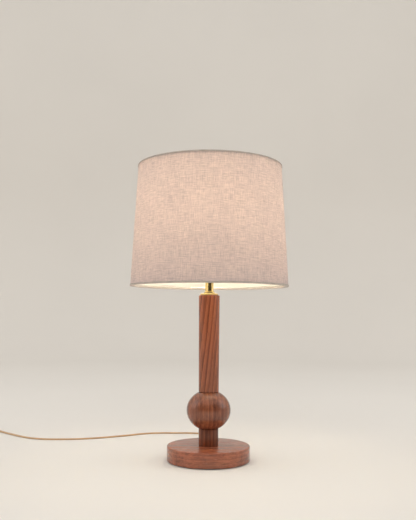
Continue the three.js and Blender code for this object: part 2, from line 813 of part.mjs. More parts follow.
function addCord() {
  const route = [[0, reliefTip + gap, cordHoleHeight], ...leadRoute];
  place("cord_lead", flatCord(route, 60, new THREE.Vector3(0, 0, 1)), "cord");

  const half = cordWidth / 2 + gap;
  const inner = coilInnerTurn - half;
  const outer = coilOuterTurn + half;
  const coilFoot = tieWall + gap;
  const coil = washer(inner, outer, coilFoot, coilFoot + coilHeight, round);
  place("cord_coil", coil.translate(coilCentre.x, coilCentre.y, 0), "cord");

  // The tie wraps the coil's section on the side away from the lamp.
  const frame = new THREE.Shape();
  const bulge = inner - Math.sqrt(inner ** 2 - (tieWidth / 2) ** 2);
  const x0 = inner - 2 * gap - bulge - tieWall;
  const x1 = outer + gap + tieWall;
  const top = coilFoot + coilHeight + gap + tieWall;
  frame.moveTo(x0, 0).lineTo(x1, 0).lineTo(x1, top).lineTo(x0, top).closePath();
  const inside = new THREE.Path();
  inside.moveTo(x0 + tieWall, tieWall).lineTo(x0 + tieWall, top - tieWall);
  inside.lineTo(x1 - tieWall, top - tieWall).lineTo(x1 - tieWall, tieWall).closePath();
  frame.holes.push(inside);
  const tie = new THREE.ExtrudeGeometry(frame, { depth: tieWidth, bevelEnabled: false });
  tie.translate(0, 0, -tieWidth / 2).rotateX(Math.PI / 2).rotateZ((5 / 6) * Math.PI);
  place("cord_tie", tie.translate(coilCentre.x, coilCentre.y, 0), "phenolic");

  const x = coilCentre.x - coilOuterTurn;
  const cordHeight = cordThickness / 2 + 0.2;
  const leaves = Math.sqrt((outer + gap) ** 2 - (coilOuterTurn - cordWidth / 2) ** 2) + 0.1;
  const tailStart = coilCentre.y - leaves;
  const tailEnd = tailStart - tailLength;
  const tail = [
    [x, tailStart, cordHeight],
    [x, tailStart - tailLength * 0.4, cordHeight + 0.6],
    [x, tailStart - tailLength * 0.75, cordHeight + 2.6],
    [x, tailEnd, plugThickness / 2 - 2],
  ];
  place("cord_tail", flatCord(tail, 10, new THREE.Vector3(0, 0, 1)), "cord");

  const plugTop = tailEnd - 0.8;
  const outline = new THREE.Shape();
  const w = plugWidth / 2;
  outline.moveTo(-w, -plugLength).lineTo(w, -plugLength).lineTo(w, -plugLength * 0.45);
  outline.lineTo(w * 0.45, 0).lineTo(-w * 0.45, 0).lineTo(-w, -plugLength * 0.45).closePath();
  const body = plate(outline, 0, plugThickness).translate(x, plugTop, 0);
  place("plug_body", body, "plug");
  const face = plugTop - plugLength - gap;
  for (const [name, side] of [["plug_blade_left", -1], ["plug_blade_right", 1]]) {
    const middle = x + (side * bladeSpacing) / 2;
    const blade = box(
      middle - bladeThickness / 2,
      middle + bladeThickness / 2,
      face - bladeLength,
      face,
      (plugThickness - bladeWidth) / 2,
      (plugThickness + bladeWidth) / 2,
    );
    place(name, blade, "brass");
  }
}

addBase();
addStem();
addSocket();
addHarp();
addBulb();
addShade();
addInnerCord();
addCord();

export default lamp;
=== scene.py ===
"""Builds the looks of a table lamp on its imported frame: a turned walnut stem with a brass neck, a linen
drum shade on a harp over a bulb socket, and the cord with its plug. Metres, +Z up, the cord leaves at +Y."""

import math

import bmesh
import bpy
from mathutils import Matrix, Vector, noise


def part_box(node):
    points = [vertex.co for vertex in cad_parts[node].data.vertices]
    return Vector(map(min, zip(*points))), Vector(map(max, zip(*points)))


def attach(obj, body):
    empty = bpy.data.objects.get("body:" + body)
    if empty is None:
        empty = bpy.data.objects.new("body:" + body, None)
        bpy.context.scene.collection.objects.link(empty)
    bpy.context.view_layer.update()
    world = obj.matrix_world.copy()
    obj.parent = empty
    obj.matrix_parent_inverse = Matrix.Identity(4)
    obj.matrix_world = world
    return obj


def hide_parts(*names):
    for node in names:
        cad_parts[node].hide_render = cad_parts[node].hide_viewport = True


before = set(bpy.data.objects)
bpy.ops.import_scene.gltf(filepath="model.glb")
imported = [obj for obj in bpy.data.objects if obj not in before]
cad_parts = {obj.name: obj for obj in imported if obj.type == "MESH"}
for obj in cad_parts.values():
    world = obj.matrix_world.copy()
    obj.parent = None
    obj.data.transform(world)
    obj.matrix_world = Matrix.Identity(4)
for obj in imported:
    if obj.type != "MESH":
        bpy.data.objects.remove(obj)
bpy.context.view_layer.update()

bl_info = {
    "name": "Table Lamp",
    "version": (1, 0, 0),
    "blender": (4, 5, 0),
    "location": "View3D > Sidebar > Lamp",
    "description": "Builds a turned wooden table lamp with a linen drum shade",
    "category": "Object",
}

MM = 0.001
TURN = 2 * math.pi
SAME_PLACE = 1e-9  # points nearer each other than this are one
ON_AXIS = 1e-7  # a profile point nearer the axis than this lies on it
NEARLY_STRAIGHT = 0.02  # a corner that bends less than this, in radians, isn't rounded
BORE = 0.0051  # radius of the hole that the threaded rod goes through
THREAD_PITCH = 0.00363  # the bulb's thread, 7 to the inch
RING_WIRE = 0.0015  # radius of the shade's wire


def low(node):
    """The lowest corner of a frame node."""
    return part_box(node)[0]


def high(node):
    """The highest corner of a frame node."""
    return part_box(node)[1]


def span(node):
    """The heights of a frame node's foot and top."""
    lo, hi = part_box(node)
    return lo.z, hi.z


# ---------------------------------------------------------------- settings


def amount(name, description, default, least=0.0, unit="LENGTH"):
    """A number setting with a lower limit."""
    return bpy.props.FloatProperty(name=name, description=description, default=default, min=least, unit=unit)


def colour_setting(name, description, default):
    """A linear colour setting."""
    return bpy.props.FloatVectorProperty(
        name=name, description=description, default=default, size=3, min=0, max=1, subtype="COLOR"
    )


class LampStemSettings(bpy.types.PropertyGroup):
    """Sizes of the turned stem and its base."""

    base_radius: amount("Base Radius", "Radius of the round wooden base", high("base_disc").x, 0.02)
    base_edge: amount("Base Edge", "Rounding of the base's top edge", 0.0016)
    ball_radius: amount("Ball Radius", "Radius of the ball", high("ball").x, 0.01)
    column_radius: amount("Column Radius", "Radius at the top of the column", high("column").x, 0.005)
    column_edge: amount("Column Edge", "Rounding of the column's top edge", 0.0019)


class LampShadeSettings(bpy.types.PropertyGroup):
    """Sizes of the shade."""

    bottom_radius: amount(
        "Bottom Radius", "Outer radius of the linen at its lower rim", high("shade_fabric").x, 0.05
    )
    top_radius: amount("Top Radius", "Outer radius of the linen at its upper rim", 0.115, 0.05)
    thread: amount("Thread Spacing", "From one linen thread to the next", 0.0011, 0.0002)
    seam: amount("Seam Width", "Overlap of the linen at the back", 0.012, 0.002)


class LampCordSettings(bpy.types.PropertyGroup):
    """Sizes of the cord."""

    length: amount("Cord Length", "From the strain relief to the plug", 1.8, 0.5)
    width: amount("Cord Width", "Across the flat twin cord", 0.0054, 0.002)
    thickness: amount("Cord Thickness", "Through one conductor", 0.0028, 0.001)


class LampColourSettings(bpy.types.PropertyGroup):
    """Colours of the finishes, linear."""

    walnut: colour_setting("Walnut", "Middle tone of the oiled walnut", (0.32, 0.085, 0.039))
    walnut_dark: colour_setting("Walnut Dark", "Dark grain lines", (0.115, 0.036, 0.02))
    brass: colour_setting("Brass", "Polished brass", (0.74, 0.59, 0.28))
    linen: colour_setting("Linen", "Middle tone of the linen thread", (0.71, 0.63, 0.61))
    linen_glow: colour_setting("Linen Glow", "Light that comes through the linen", (0.98, 0.8, 0.76))
    liner: colour_setting("Liner", "Inside of the shade", (0.9, 0.9, 0.88))
    tape: colour_setting("Rim Tape", "Tape over the two rims", (0.53, 0.465, 0.425))
    cord: colour_setting("Cord", "Golden cord jacket", (0.58, 0.36, 0.19))
    glow: colour_setting("Lamp Light", "Colour of the bulb's light", (1.0, 0.88, 0.68))
    floor: colour_setting("Floor", "Floor and backdrop", (0.785, 0.755, 0.715))


class LampLightSettings(bpy.types.PropertyGroup):
    """Strengths of the lights."""

    bulb: amount("Bulb", "Brightness of the bulb's glass", 30.0, unit="NONE")
    studio: amount("Studio", "Power of the overhead soft light", 3.0, unit="POWER")
    sides: amount("Sides", "Power of the two side soft lights", 8.0, unit="POWER")
    front: amount("Front", "Power of the soft light over the camera", 8.0, unit="POWER")
    room: amount("Room", "Brightness of the room's even light", 0.86, unit="NONE")


SETTINGS = {
    "lamp_stem": LampStemSettings,
    "lamp_shade": LampShadeSettings,
    "lamp_cord": LampCordSettings,
    "lamp_colours": LampColourSettings,
    "lamp_lights": LampLightSettings,
}


def colours():
    """The colour settings."""
    return bpy.context.scene.lamp_colours


# ---------------------------------------------------------------- mesh making


def linked(name, data):
    """A new object in the scene."""
    obj = bpy.data.objects.new(name, data)
    bpy.context.scene.collection.objects.link(obj)
    return obj


def softened(mesh, sharp):
    """Smooth shading, with a hard edge where faces meet at more than so many degrees."""
    mesh.shade_smooth()
    mesh.set_sharp_from_angle(angle=math.radians(sharp))
    return mesh


def polar(radius, angle, *rest):
    """The point at an angle in radians round the origin, with any further coordinates."""
    return (radius * math.cos(angle), radius * math.sin(angle), *rest)


def arc(x, y, radius, degrees):
    """Points round (x, y), one for each of the given degrees."""
    return [(x + radius * math.cos(math.radians(a)), y + radius * math.sin(math.radians(a))) for a in degrees]


def band_faces(rows, sides, looped=False):
    """Quads round each row of points and on to the next row."""
    faces = []
    for i in range(rows if looped else rows - 1):
        n = (i + 1) % rows
        for j in range(sides):
            k = (j + 1) % sides
            faces.append([i * sides + j, i * sides + k, n * sides + k, n * sides + j])
    return faces


def mesh_object(name, points, faces, uvs=None, sharp=40):
    """A linked mesh object from points and faces, with one uv list for each face."""
    mesh = bpy.data.meshes.new(name)
    mesh.from_pydata([tuple(p) for p in points], [], faces)
    if uvs:
        layer = mesh.uv_layers.new(name="UVMap")
        flat = [c for face in uvs for uv in face for c in uv]
        layer.data.foreach_set("uv", flat)
    return linked(name, softened(mesh, sharp))


def face_out(obj):
    """Turns the faces of a closed mesh outwards if its volume comes out negative."""
    work = bmesh.new()
    work.from_mesh(obj.data)
    if work.calc_volume(signed=True) < 0:
        bmesh.ops.reverse_faces(work, faces=work.faces)
        work.to_mesh(obj.data)
    work.free()
    return obj


def rounded(profile, radius, steps=5):
    """A closed profile of (radius, height) points with rounded corners; those on the axis stay sharp."""
    out = []
    for i, point in enumerate(profile):
        r = radius[i] if isinstance(radius, (list, tuple)) else radius
        here = Vector(point)
        back = Vector(profile[i - 1]) - here
        on = Vector(profile[(i + 1) % len(profile)]) - here
        apart = min(back.length, on.length) > SAME_PLACE
        angle = back.angle(on) if apart else math.pi
        if r <= 0 or here.x < ON_AXIS or angle > math.pi - NEARLY_STRAIGHT:
            out.append(here)
            continue
        reach = min(r / math.tan(angle / 2), 0.45 * min(back.length, on.length))
        r = reach * math.tan(angle / 2)
        start, end = here + back.normalized() * reach, here + on.normalized() * reach
        centre = here + (back.normalized() + on.normalized()).normalized() * (r / math.sin(angle / 2))
        a, b = start - centre, end - centre
        spread = a.angle(b)
        for k in range(steps + 1):
            t = k / steps
            on_arc = (a * math.sin((1 - t) * spread) + b * math.sin(t * spread)) / math.sin(spread)
            out.append(centre + on_arc)
    return out


def turned(name, profile, facets=128, closed=True, sharp=40, thread=None):
    """A solid turned about Z from (radius, height) points, to whose radius thread(radius, height, angle) is
    added."""
    points, rings = [], []
    for r, z in profile:
        if r < ON_AXIS:
            rings.append([len(points)] * facets)
            points.append((0, 0, z))
            continue
        rings.append(range(len(points), len(points) + facets))
        for j in range(facets):
            angle = TURN * j / facets
            points.append(polar(r + (thread(r, z, angle) if thread else 0), angle, z))
    along = [0.0]
    for a, b in zip(profile, profile[1:] + profile[:1]):
        along.append(along[-1] + math.dist(a, b))
    mean = sum(p[0] for p in profile) / len(profile)
    faces, uvs = [], []
    for i in range(len(profile) if closed else len(profile) - 1):
        n = (i + 1) % len(profile)
        one, two = rings[i], rings[n]
        if profile[i][0] < ON_AXIS and profile[n][0] < ON_AXIS:
            continue
        for j in range(facets):
            k = (j + 1) % facets
            u0, u1 = TURN * mean * j / facets, TURN * mean * (j + 1) / facets
            corners = [(one[j], u0, along[i]), (one[k], u1, along[i])]
            corners += [(two[k], u1, along[i + 1]), (two[j], u0, along[i + 1])]
            kept = [c for at, c in enumerate(corners) if c[0] != corners[at - 1][0]]
            faces.append([c[0] for c in kept])
            uvs.append([(c[1], c[2]) for c in kept])
    obj = mesh_object(name, points, faces, uvs, sharp)
    return face_out(obj) if closed or profile[0][0] < ON_AXIS else obj


def washer(name, inner, outer, foot, top, edge=0.0003, facets=96, steps=3):
    """A plain ring with rounded edges, or a disc or pin if inner is 0."""
    corners = [(inner, foot), (outer, foot), (outer, top), (inner, top)]
    return turned(name, rounded(corners, edge, steps), facets)


def ellipse(width, height, count=16, power=2.0):
    """A closed section round the origin; powers over 2 make it squarer."""
    squared = lambda v: math.copysign(abs(v) ** (2 / power), v)
    around = [polar(1, TURN * i / count) for i in range(count)]
    return [(width / 2 * squared(c), height / 2 * squared(s)) for c, s in around]


def between(p, q, start, end, t):
    """The point that t, going from start to end, reaches on the way from p to q."""
    return p * ((end - t) / (end - start)) + q * ((t - start) / (end - start))


def smooth_path(points, step):
    """Points a step apart on a smooth curve through the given points."""
    pts = [Vector(p) for p in points]
    pts = [2 * pts[0] - pts[1], *pts, 2 * pts[-1] - pts[-2]]
    out = []
    for a, b, c, d in zip(pts, pts[1:], pts[2:], pts[3:]):
        knots = [0.0]
        for p, q in ((a, b), (b, c), (c, d)):
            knots.append(knots[-1] + max((q - p).length, SAME_PLACE) ** 0.5)
        t0, t1, t2, t3 = knots
        count = max(1, round((c - b).length / step))
        for k in range(count):
            t = t1 + (t2 - t1) * k / count
            early, late = between(a, b, t0, t1, t), between(c, d, t2, t3, t)
            here = between(b, c, t1, t2, t)
            early, late = between(early, here, t0, t2, t), between(here, late, t1, t3, t)
            out.append(between(early, late, t1, t2, t))
    out.append(pts[-2])
    return out


def swept(name, path, section, up=None, looped=False, sharp=40):
    """A closed solid: section, in (side, up), carried along path. up keeps its second axis upright; without
    it the section is carried with no twist."""
    path = [Vector(p) for p in path]
    count, sides = len(path), len(section)
    tangents = []
    for i in range(count):
        before = path[i - 1] if i or looped else path[i]
        after = path[(i + 1) % count] if i < count - 1 or looped else path[i]
        tangents.append((after - before).normalized())
    normal = Vector(up) if up else tangents[0].orthogonal()
    points, lengths = [], [0.0]
    for i, (p, t) in enumerate(zip(path, tangents)):
        if up:
            normal = Vector(up)
        normal = (normal - t * normal.dot(t)).normalized()
        side = t.cross(normal)
        points += [p + side * x + normal * y for x, y in section]
        lengths.append(lengths[-1] + (path[(i + 1) % count] - p).length)
    rim = [0.0]
    for a, b in zip(section, section[1:] + section[:1]):
        rim.append(rim[-1] + math.dist(a, b))
    faces, uvs = band_faces(count, sides, looped), []
    for u0, u1 in zip(lengths, lengths[1 : len(faces) // sides + 1]):
        uvs += [[(u0, v0), (u0, v1), (u1, v1), (u1, v0)] for v0, v1 in zip(rim, rim[1:])]
    if not looped:
        faces += [list(range(sides))[::-1], list(range((count - 1) * sides, count * sides))]
        uvs += [[(0, 0)] * sides, [(0, 0)] * sides]
    return face_out(mesh_object(name, points, faces, uvs, sharp))


def joined(name, parts):
    """One object from several, in the first one's place."""
    work = bmesh.new()
    for part in parts:
        work.from_mesh(part.data)
    keep = parts[0]
    work.to_mesh(keep.data)
    work.free()
    keep.data.name = name
    for part in parts[1:]:
        bpy.data.objects.remove(part)
    keep.name = name
    return keep


def moved(obj, matrix):
    """The object with its mesh, not its place, changed."""
    obj.data.transform(matrix)
    return obj


def rolled_box(name, lowest, highest, edge, segments=3):
    """A block between two corners with rounded edges."""
    work = bmesh.new()
    bmesh.ops.create_cube(work, size=1)
    lo, hi = Vector(lowest), Vector(highest)
    for v in work.verts:
        v.co = Vector((lo[i] + (v.co[i] + 0.5) * (hi[i] - lo[i]) for i in range(3)))
    bmesh.ops.bevel(work, geom=work.edges[:], offset=edge, segments=segments, affect="EDGES", profile=0.5)
    mesh = bpy.data.meshes.new(name)
    work.to_mesh(mesh)
    work.free()
    return linked(name, softened(mesh, 50))


def fit(obj, body, slot, material, *nodes):
    """Gives a finished piece its material and its body, and hides the frame nodes that it stands for; slot is
    not used.
    """
    if material:
        obj.data.materials.clear()
        obj.data.materials.append(material)
    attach(obj, body)
    if nodes:
        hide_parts(*nodes)
    return obj


# ---------------------------------------------------------------- finishes


class Finish:
    """A node material in the making, with short ways to add nodes to its Principled shader."""

    def __init__(self, name, colour=(0.5, 0.5, 0.5), roughness=0.5, metallic=0.0):
        self.material = bpy.data.materials.new(name)
        self.material.use_nodes = True
        self.tree = self.material.node_tree
        self.shader = self.tree.nodes["Principled BSDF"]
        self.output = self.tree.nodes["Material Output"]
        self.set("Base Color", (*colour, 1))
        self.set("Roughness", roughness)
        self.set("Metallic", metallic)

    def set(self, socket, value):
        """A value or a node's output on one of the shader's sockets."""
        if isinstance(value, bpy.types.NodeSocket):
            self.tree.links.new(value, self.shader.inputs[socket])
        else:
            self.shader.inputs[socket].default_value = value
        return self

    def node(self, kind, sockets=None, **settings):
        made = self.tree.nodes.new(kind)
        for key, value in settings.items():
            setattr(made, key, value)
        for key, value in (sockets or {}).items():
            if isinstance(value, bpy.types.NodeSocket):
                self.tree.links.new(value, made.inputs[key])
            else:
                made.inputs[key].default_value = value
        return made

    def coords(self, kind="Object", scale=(1, 1, 1), turn=(0, 0, 0), shift=(0, 0, 0)):
        source = self.node("ShaderNodeTexCoord").outputs[kind]
        sockets = {"Vector": source, "Scale": scale, "Rotation": turn, "Location": shift}
        return self.node("ShaderNodeMapping", sockets).outputs["Vector"]

    def noise(self, vector, scale=1.0, detail=2.0, roughness=0.5, distortion=0.0):
        sockets = {
            "Vector": vector,
            "Scale": scale,
            "Detail": detail,
            "Roughness": roughness,
            "Distortion": distortion,
        }
        return self.node("ShaderNodeTexNoise", sockets).outputs["Fac"]

    def maths(self, operation, a, b=0.0, clamp=False):
        return self.node("ShaderNodeMath", {0: a, 1: b}, operation=operation, use_clamp=clamp).outputs[0]

    def spread(self, value, low_in, high_in, low_out=0.0, high_out=1.0):
        sockets = {"Value": value, "From Min": low_in, "From Max": high_in}
        sockets.update({"To Min": low_out, "To Max": high_out})
        return self.node("ShaderNodeMapRange", sockets).outputs["Result"]

    def mix(self, share, a, b, blend="MIX"):
        a = a if isinstance(a, bpy.types.NodeSocket) else (*a, 1)
        b = b if isinstance(b, bpy.types.NodeSocket) else (*b, 1)
        made = self.node("ShaderNodeMix", {0: share, 6: a, 7: b}, data_type="RGBA", blend_type=blend)
        return made.outputs[2]

    def total(self, *terms):
        """The sum of (value, weight) pairs."""
        parts = [value if weight == 1 else self.maths("MULTIPLY", value, weight) for value, weight in terms]
        result = parts[0]
        for part in parts[1:]:
            result = self.maths("ADD", result, part)
        return result

    def tint(self, value, low_in, high_in, one, two):
        """Base colour that goes from one to two as value goes from low_in to high_in."""
        return self.set("Base Color", self.mix(self.spread(value, low_in, high_in), one, two))

    def cloudy(self, scale, one, two, detail=3):
        """A soft drift between two base colours, from a noise that this returns."""
        cloud = self.noise(self.coords(), scale=scale, detail=detail)
        self.tint(cloud, 0.3, 0.7, one, two)
        return cloud

    def bump(self, height, distance, strength=1.0):
        """Sets the shader's normal, and returns it."""
        sockets = {"Height": height, "Distance": distance, "Strength": strength}
        normal = self.node("ShaderNodeBump", sockets).outputs["Normal"]
        self.set("Normal", normal)
        return normal

    def lit_through(self, share, colour, normal=None):
        """Lets a share of the light from behind come through in a colour."""
        colour = colour if isinstance(colour, bpy.types.NodeSocket) else (*colour, 1)
        sockets = {"Color": colour, "Normal": normal} if normal else {"Color": colour}
        lit = self.node("ShaderNodeBsdfTranslucent", sockets)
        both = self.node("ShaderNodeMixShader", {0: share, 1: self.shader.outputs[0], 2: lit.outputs[0]})
        self.tree.links.new(both.outputs[0], self.output.inputs["Surface"])


def shade_of(colour, factor):
    """A lighter or darker tone of a colour."""
    return tuple(min(1.0, c * factor) for c in colour)


def walnut(name, along="Z", shift=(0, 0, 0), lean=0, painted_shading=1, shine=0.6, figure=0.3):
    """Oiled walnut whose grain runs along one axis, or leans off it by lean degrees, with growth rings,
    streaks and open pores. painted_shading paints the piece lighter or darker for the light or shade on it;
    figure is the rings' share of the pattern."""
    c = colours()
    f = Finish(name)
    turn = (0, math.radians((0 if along == "Z" else 90) - lean), 0)
    grain = f.coords(turn=turn, shift=shift)

    def stretch(across, length):
        scaled = f.node("ShaderNodeMapping", {"Vector": grain, "Scale": (across, across, length)})
        return scaled.outputs["Vector"]

    wander = f.noise(stretch(14, 5), detail=3)
    wave = {
        "Vector": stretch(1, 0.12),
        "Scale": 48.0,
        "Distortion": 4.0,
        "Detail": 3.0,
        "Detail Scale": 0.6,
        "Detail Roughness": 0.5,
    }
    kind = {"wave_type": "RINGS", "rings_direction": "Z", "wave_profile": "SAW"}
    rings = f.node("ShaderNodeTexWave", wave, **kind).outputs["Fac"]
    broad = f.noise(stretch(70, 4.5), detail=3, distortion=0.4)
    streaks = f.noise(stretch(330, 9), detail=4, roughness=0.6)
    fine = f.noise(stretch(1500, 45), detail=2)
    pores = f.spread(f.noise(stretch(2100, 105), detail=1), 0.63, 0.72)
    tone = f.total((rings, figure), (streaks, 0.92 - figure), (broad, 0.5), (fine, 0.22))
    share = f.spread(tone, 0.6, 1.0)
    # painted_shading scales every tone of the wood: painted light or shade for the whole piece.
    golden = shade_of((0.31, 0.108, 0.05), painted_shading)
    light = f.mix(f.spread(wander, 0.35, 0.65), shade_of(c.walnut, 1.15 * painted_shading), golden)
    body = f.mix(share, shade_of(c.walnut_dark, painted_shading), light)
    body = f.mix(f.maths("MULTIPLY", pores, 0.55), body, shade_of(c.walnut_dark, 0.6))
    f.set("Base Color", body)
    f.set("Roughness", f.spread(f.total((share, -0.06), (fine, 1)), 0.3, 0.75, 0.17, 0.3))
    f.set("Specular IOR Level", shine)
    f.bump(f.maths("SUBTRACT", f.maths("MULTIPLY", fine, 0.3), pores), 0.00012, 0.35)
    return f.material


def metal(name, colour, roughness=0.2, scratch=0.05):
    """Drawn or spun metal: fine marks round the piece, and a little tarnish."""
    f = Finish(name, colour, roughness, 1.0)
    spun = f.noise(f.coords(scale=(30, 30, 900)), detail=3)
    haze = f.noise(f.coords(), scale=55, detail=4, roughness=0.6)
    f.tint(haze, 0.35, 0.75, colour, shade_of(colour, 0.8))
    f.set("Roughness", f.spread(haze, 0.3, 0.7, roughness * 0.75, roughness * 1.35))
    f.bump(spun, 0.00002, scratch)
    return f.material


def smooth_plastic(name, colour, roughness, grain=1200.0):
    """Moulded plastic with a fine even grain."""
    f = Finish(name, colour, roughness)
    cloud = f.cloudy(40, shade_of(colour, 0.92), shade_of(colour, 1.06))
    f.set("Roughness", f.spread(cloud, 0.3, 0.7, roughness * 0.85, roughness * 1.15))
    f.bump(f.noise(f.coords(), scale=grain, detail=2), 0.00003, 0.25)
    return f.material


def threads(f, spacing, uneven=0.35):
    """Height, 0 to 1, of a plain weave on the UV map in metres. uneven shifts the threads by so much of the
    spacing."""
    uv = f.coords("UV")
    wobble = f.node(
        "ShaderNodeTexNoise", {"Vector": uv, "Scale": 60.0, "Detail": 2.0}, noise_dimensions="2D"
    ).outputs["Color"]
    reach = (uneven * spacing, uneven * spacing, 0)
    bent = f.node("ShaderNodeVectorMath", {0: wobble, 1: reach}, operation="MULTIPLY").outputs[0]
    place = f.node("ShaderNodeVectorMath", {0: uv, 1: bent}, operation="ADD").outputs[0]
    parts = f.node("ShaderNodeSeparateXYZ", {0: place}).outputs
    weave = [f.maths("SINE", f.maths("MULTIPLY", parts[axis], math.pi / spacing)) for axis in "XY"]
    over = f.spread(f.maths("MULTIPLY", *weave), -0.25, 0.25)
    weft, warp = (f.maths("ABSOLUTE", w) for w in weave)
    return f.node("ShaderNodeMix", {0: over, 2: weft, 3: warp}, data_type="FLOAT").outputs[0]


def slubs(f, across, along):
    """Uneven yarn: long thin noise on the UV map, across and along in features to the metre."""
    return f.noise(f.coords("UV", scale=(across, along, 1)), detail=3, roughness=0.55)


def linen():
    """Slubbed linen that lets some of the lamp's light through, less where a yarn is thick."""
    c = colours()
    f = Finish("linen", c.linen[:], 0.9)
    weave = threads(f, bpy.context.scene.lamp_shade.thread)
    weft, warp = slubs(f, 48, 780), slubs(f, 760, 36)
    fine = f.maths("ADD", slubs(f, 120, 1500), slubs(f, 1500, 110))
    thick = f.total((weft, 0.25), (warp, 0.19), (fine, 0.25), (slubs(f, 26, 26), 0.06))
    yarn = f.spread(thick, 0.42, 0.58)
    knots = f.spread(slubs(f, 130, 700), 0.72, 0.8)
    grey = (c.linen[0] * 0.72, c.linen[1] * 0.74, c.linen[2] * 0.82)
    body = f.mix(yarn, shade_of(c.linen, 1.16), grey)
    body = f.mix(f.maths("MULTIPLY", knots, 0.6), body, shade_of(c.linen, 0.55))
    # Painted shade: the weave's low places between the threads are darkened.
    body = f.mix(f.spread(weave, 0.0, 0.55, 0.3, 0.0), body, shade_of(c.linen, 0.6))
    f.set("Base Color", body)
    f.set("Sheen Weight", 0.03)
    f.set("Sheen Roughness", 0.6)
    f.set("Specular IOR Level", 0.2)
    bumped = f.bump(f.total((weave, 0.6), (yarn, 1)), 0.00022, 0.5)
    f.lit_through(0.42, f.mix(yarn, c.linen_glow[:], shade_of(c.linen_glow, 0.66)), bumped)
    return f.material


def backing():
    """The shade's smooth backing sheet, warm white, that glows when lit from one side."""
    colour = colours().liner[:]
    f = Finish("liner", colour, 0.55)
    f.cloudy(30, shade_of(colour, 0.96), shade_of(colour, 1.03))
    f.lit_through(0.36, (0.95, 0.9, 0.82), f.bump(slubs(f, 500, 700), 0.00006, 0.4))
    return f.material


def glued_side():
    """The two faces that are glued together inside the shade's wall: pale, and clear to light."""
    f = Finish("glued_side", (0.85, 0.82, 0.76), 0.8)
    f.cloudy(60, (0.8, 0.77, 0.7), (0.88, 0.85, 0.8))
    f.lit_through(0.92, (0.97, 0.96, 0.94))
    return f.material


def rim_tape():
    """The woven tape over the shade's rims."""
    c = colours()
    f = Finish("rim_tape", c.tape[:], 0.9)
    weave = threads(f, 0.0007, 0.2)
    soil = f.noise(f.coords("UV", scale=(90, 400, 1)), detail=3)
    body = f.mix(f.spread(soil, 0.35, 0.7), shade_of(c.tape, 1.1), shade_of(c.tape, 0.82))
    # Painted shade: the weave's low places between the threads are darkened.
    f.set("Base Color", f.mix(f.spread(weave, 0, 0.5, 0.35, 0), body, shade_of(c.tape, 0.6)))
    f.set("Sheen Weight", 0.1)
    f.bump(weave, 0.0002, 0.6)
    return f.material


def felt():
    """Dark pressed wool."""
    f = Finish("felt", (0.03, 0.026, 0.023), 0.95)
    tufts = f.noise(f.coords(), scale=900, detail=4, roughness=0.7)
    patches = f.noise(f.coords(), scale=90, detail=3)
    f.tint(f.total((tufts, 0.7), (patches, 0.3)), 0.35, 0.65, (0.018, 0.016, 0.014), (0.06, 0.052, 0.046))
    f.set("Sheen Weight", 0.4)
    f.bump(tufts, 0.0006, 0.7)
    return f.material


def cord_jacket():
    """Clear golden vinyl over twisted copper, which shows through as a faint slanting twist."""
    c = colours()
    f = Finish("cord_jacket", c.cord[:], 0.32)
    slant = f.coords("UV", turn=(0, 0, math.radians(35)))
    wave = {"Vector": slant, "Scale": 230.0, "Distortion": 0.4}
    twist = f.node("ShaderNodeTexWave", wave, bands_direction="X").outputs["Fac"]
    cloud = f.noise(f.coords(), scale=60, detail=3)
    body = f.mix(f.spread(cloud, 0.3, 0.7), shade_of(c.cord, 0.92), shade_of(c.cord, 1.1))
    f.set("Base Color", f.mix(f.maths("MULTIPLY", twist, 0.22), body, shade_of(c.cord, 0.72)))
    f.set("Coat Weight", 0.25)
    f.set("Coat Roughness", 0.2)
    f.bump(f.noise(f.coords(), scale=700, detail=2), 0.00004, 0.2)
    return f.material


def iron():
    """Rough cast iron."""
    f = Finish("cast_iron", (0.05, 0.048, 0.046), 0.7, 0.8)
    sand = f.noise(f.coords(), scale=700, detail=5, roughness=0.7)
    f.tint(sand, 0.35, 0.7, (0.035, 0.034, 0.033), (0.09, 0.075, 0.065))
    f.bump(sand, 0.0004, 0.6)
    return f.material


def card():
    """Brown insulating card."""
    f = Finish("insulating_card", (0.33, 0.2, 0.09), 0.9)
    fibres = f.noise(f.coords(scale=(1, 1, 0.3)), scale=800, detail=4)
    f.tint(fibres, 0.35, 0.65, (0.27, 0.16, 0.075), (0.4, 0.26, 0.13))
    f.bump(fibres, 0.0001, 0.4)
    return f.material


def strap_cloth():
    """Black hook-and-loop cloth."""
    f = Finish("strap_cloth", (0.02, 0.02, 0.021), 0.9)
    loops = f.noise(f.coords(), scale=1500, detail=3)
    f.tint(loops, 0.35, 0.65, (0.012, 0.012, 0.013), (0.045, 0.044, 0.044))
    f.set("Sheen Weight", 0.3)
    f.bump(loops, 0.0003, 0.7)
    return f.material


def opal_glass(name, glow):
    """White coated glass of the bulb, glowing or not."""
    f = Finish(name, (0.9, 0.86, 0.8), 0.3)
    cloud = f.cloudy(90, (0.86, 0.82, 0.76), (0.93, 0.9, 0.85))
    f.set("Roughness", f.spread(cloud, 0.3, 0.7, 0.26, 0.34))
    if glow:
        f.set("Emission Color", (*colours().glow, 1))
        f.set("Emission Strength", glow)
    return f.material


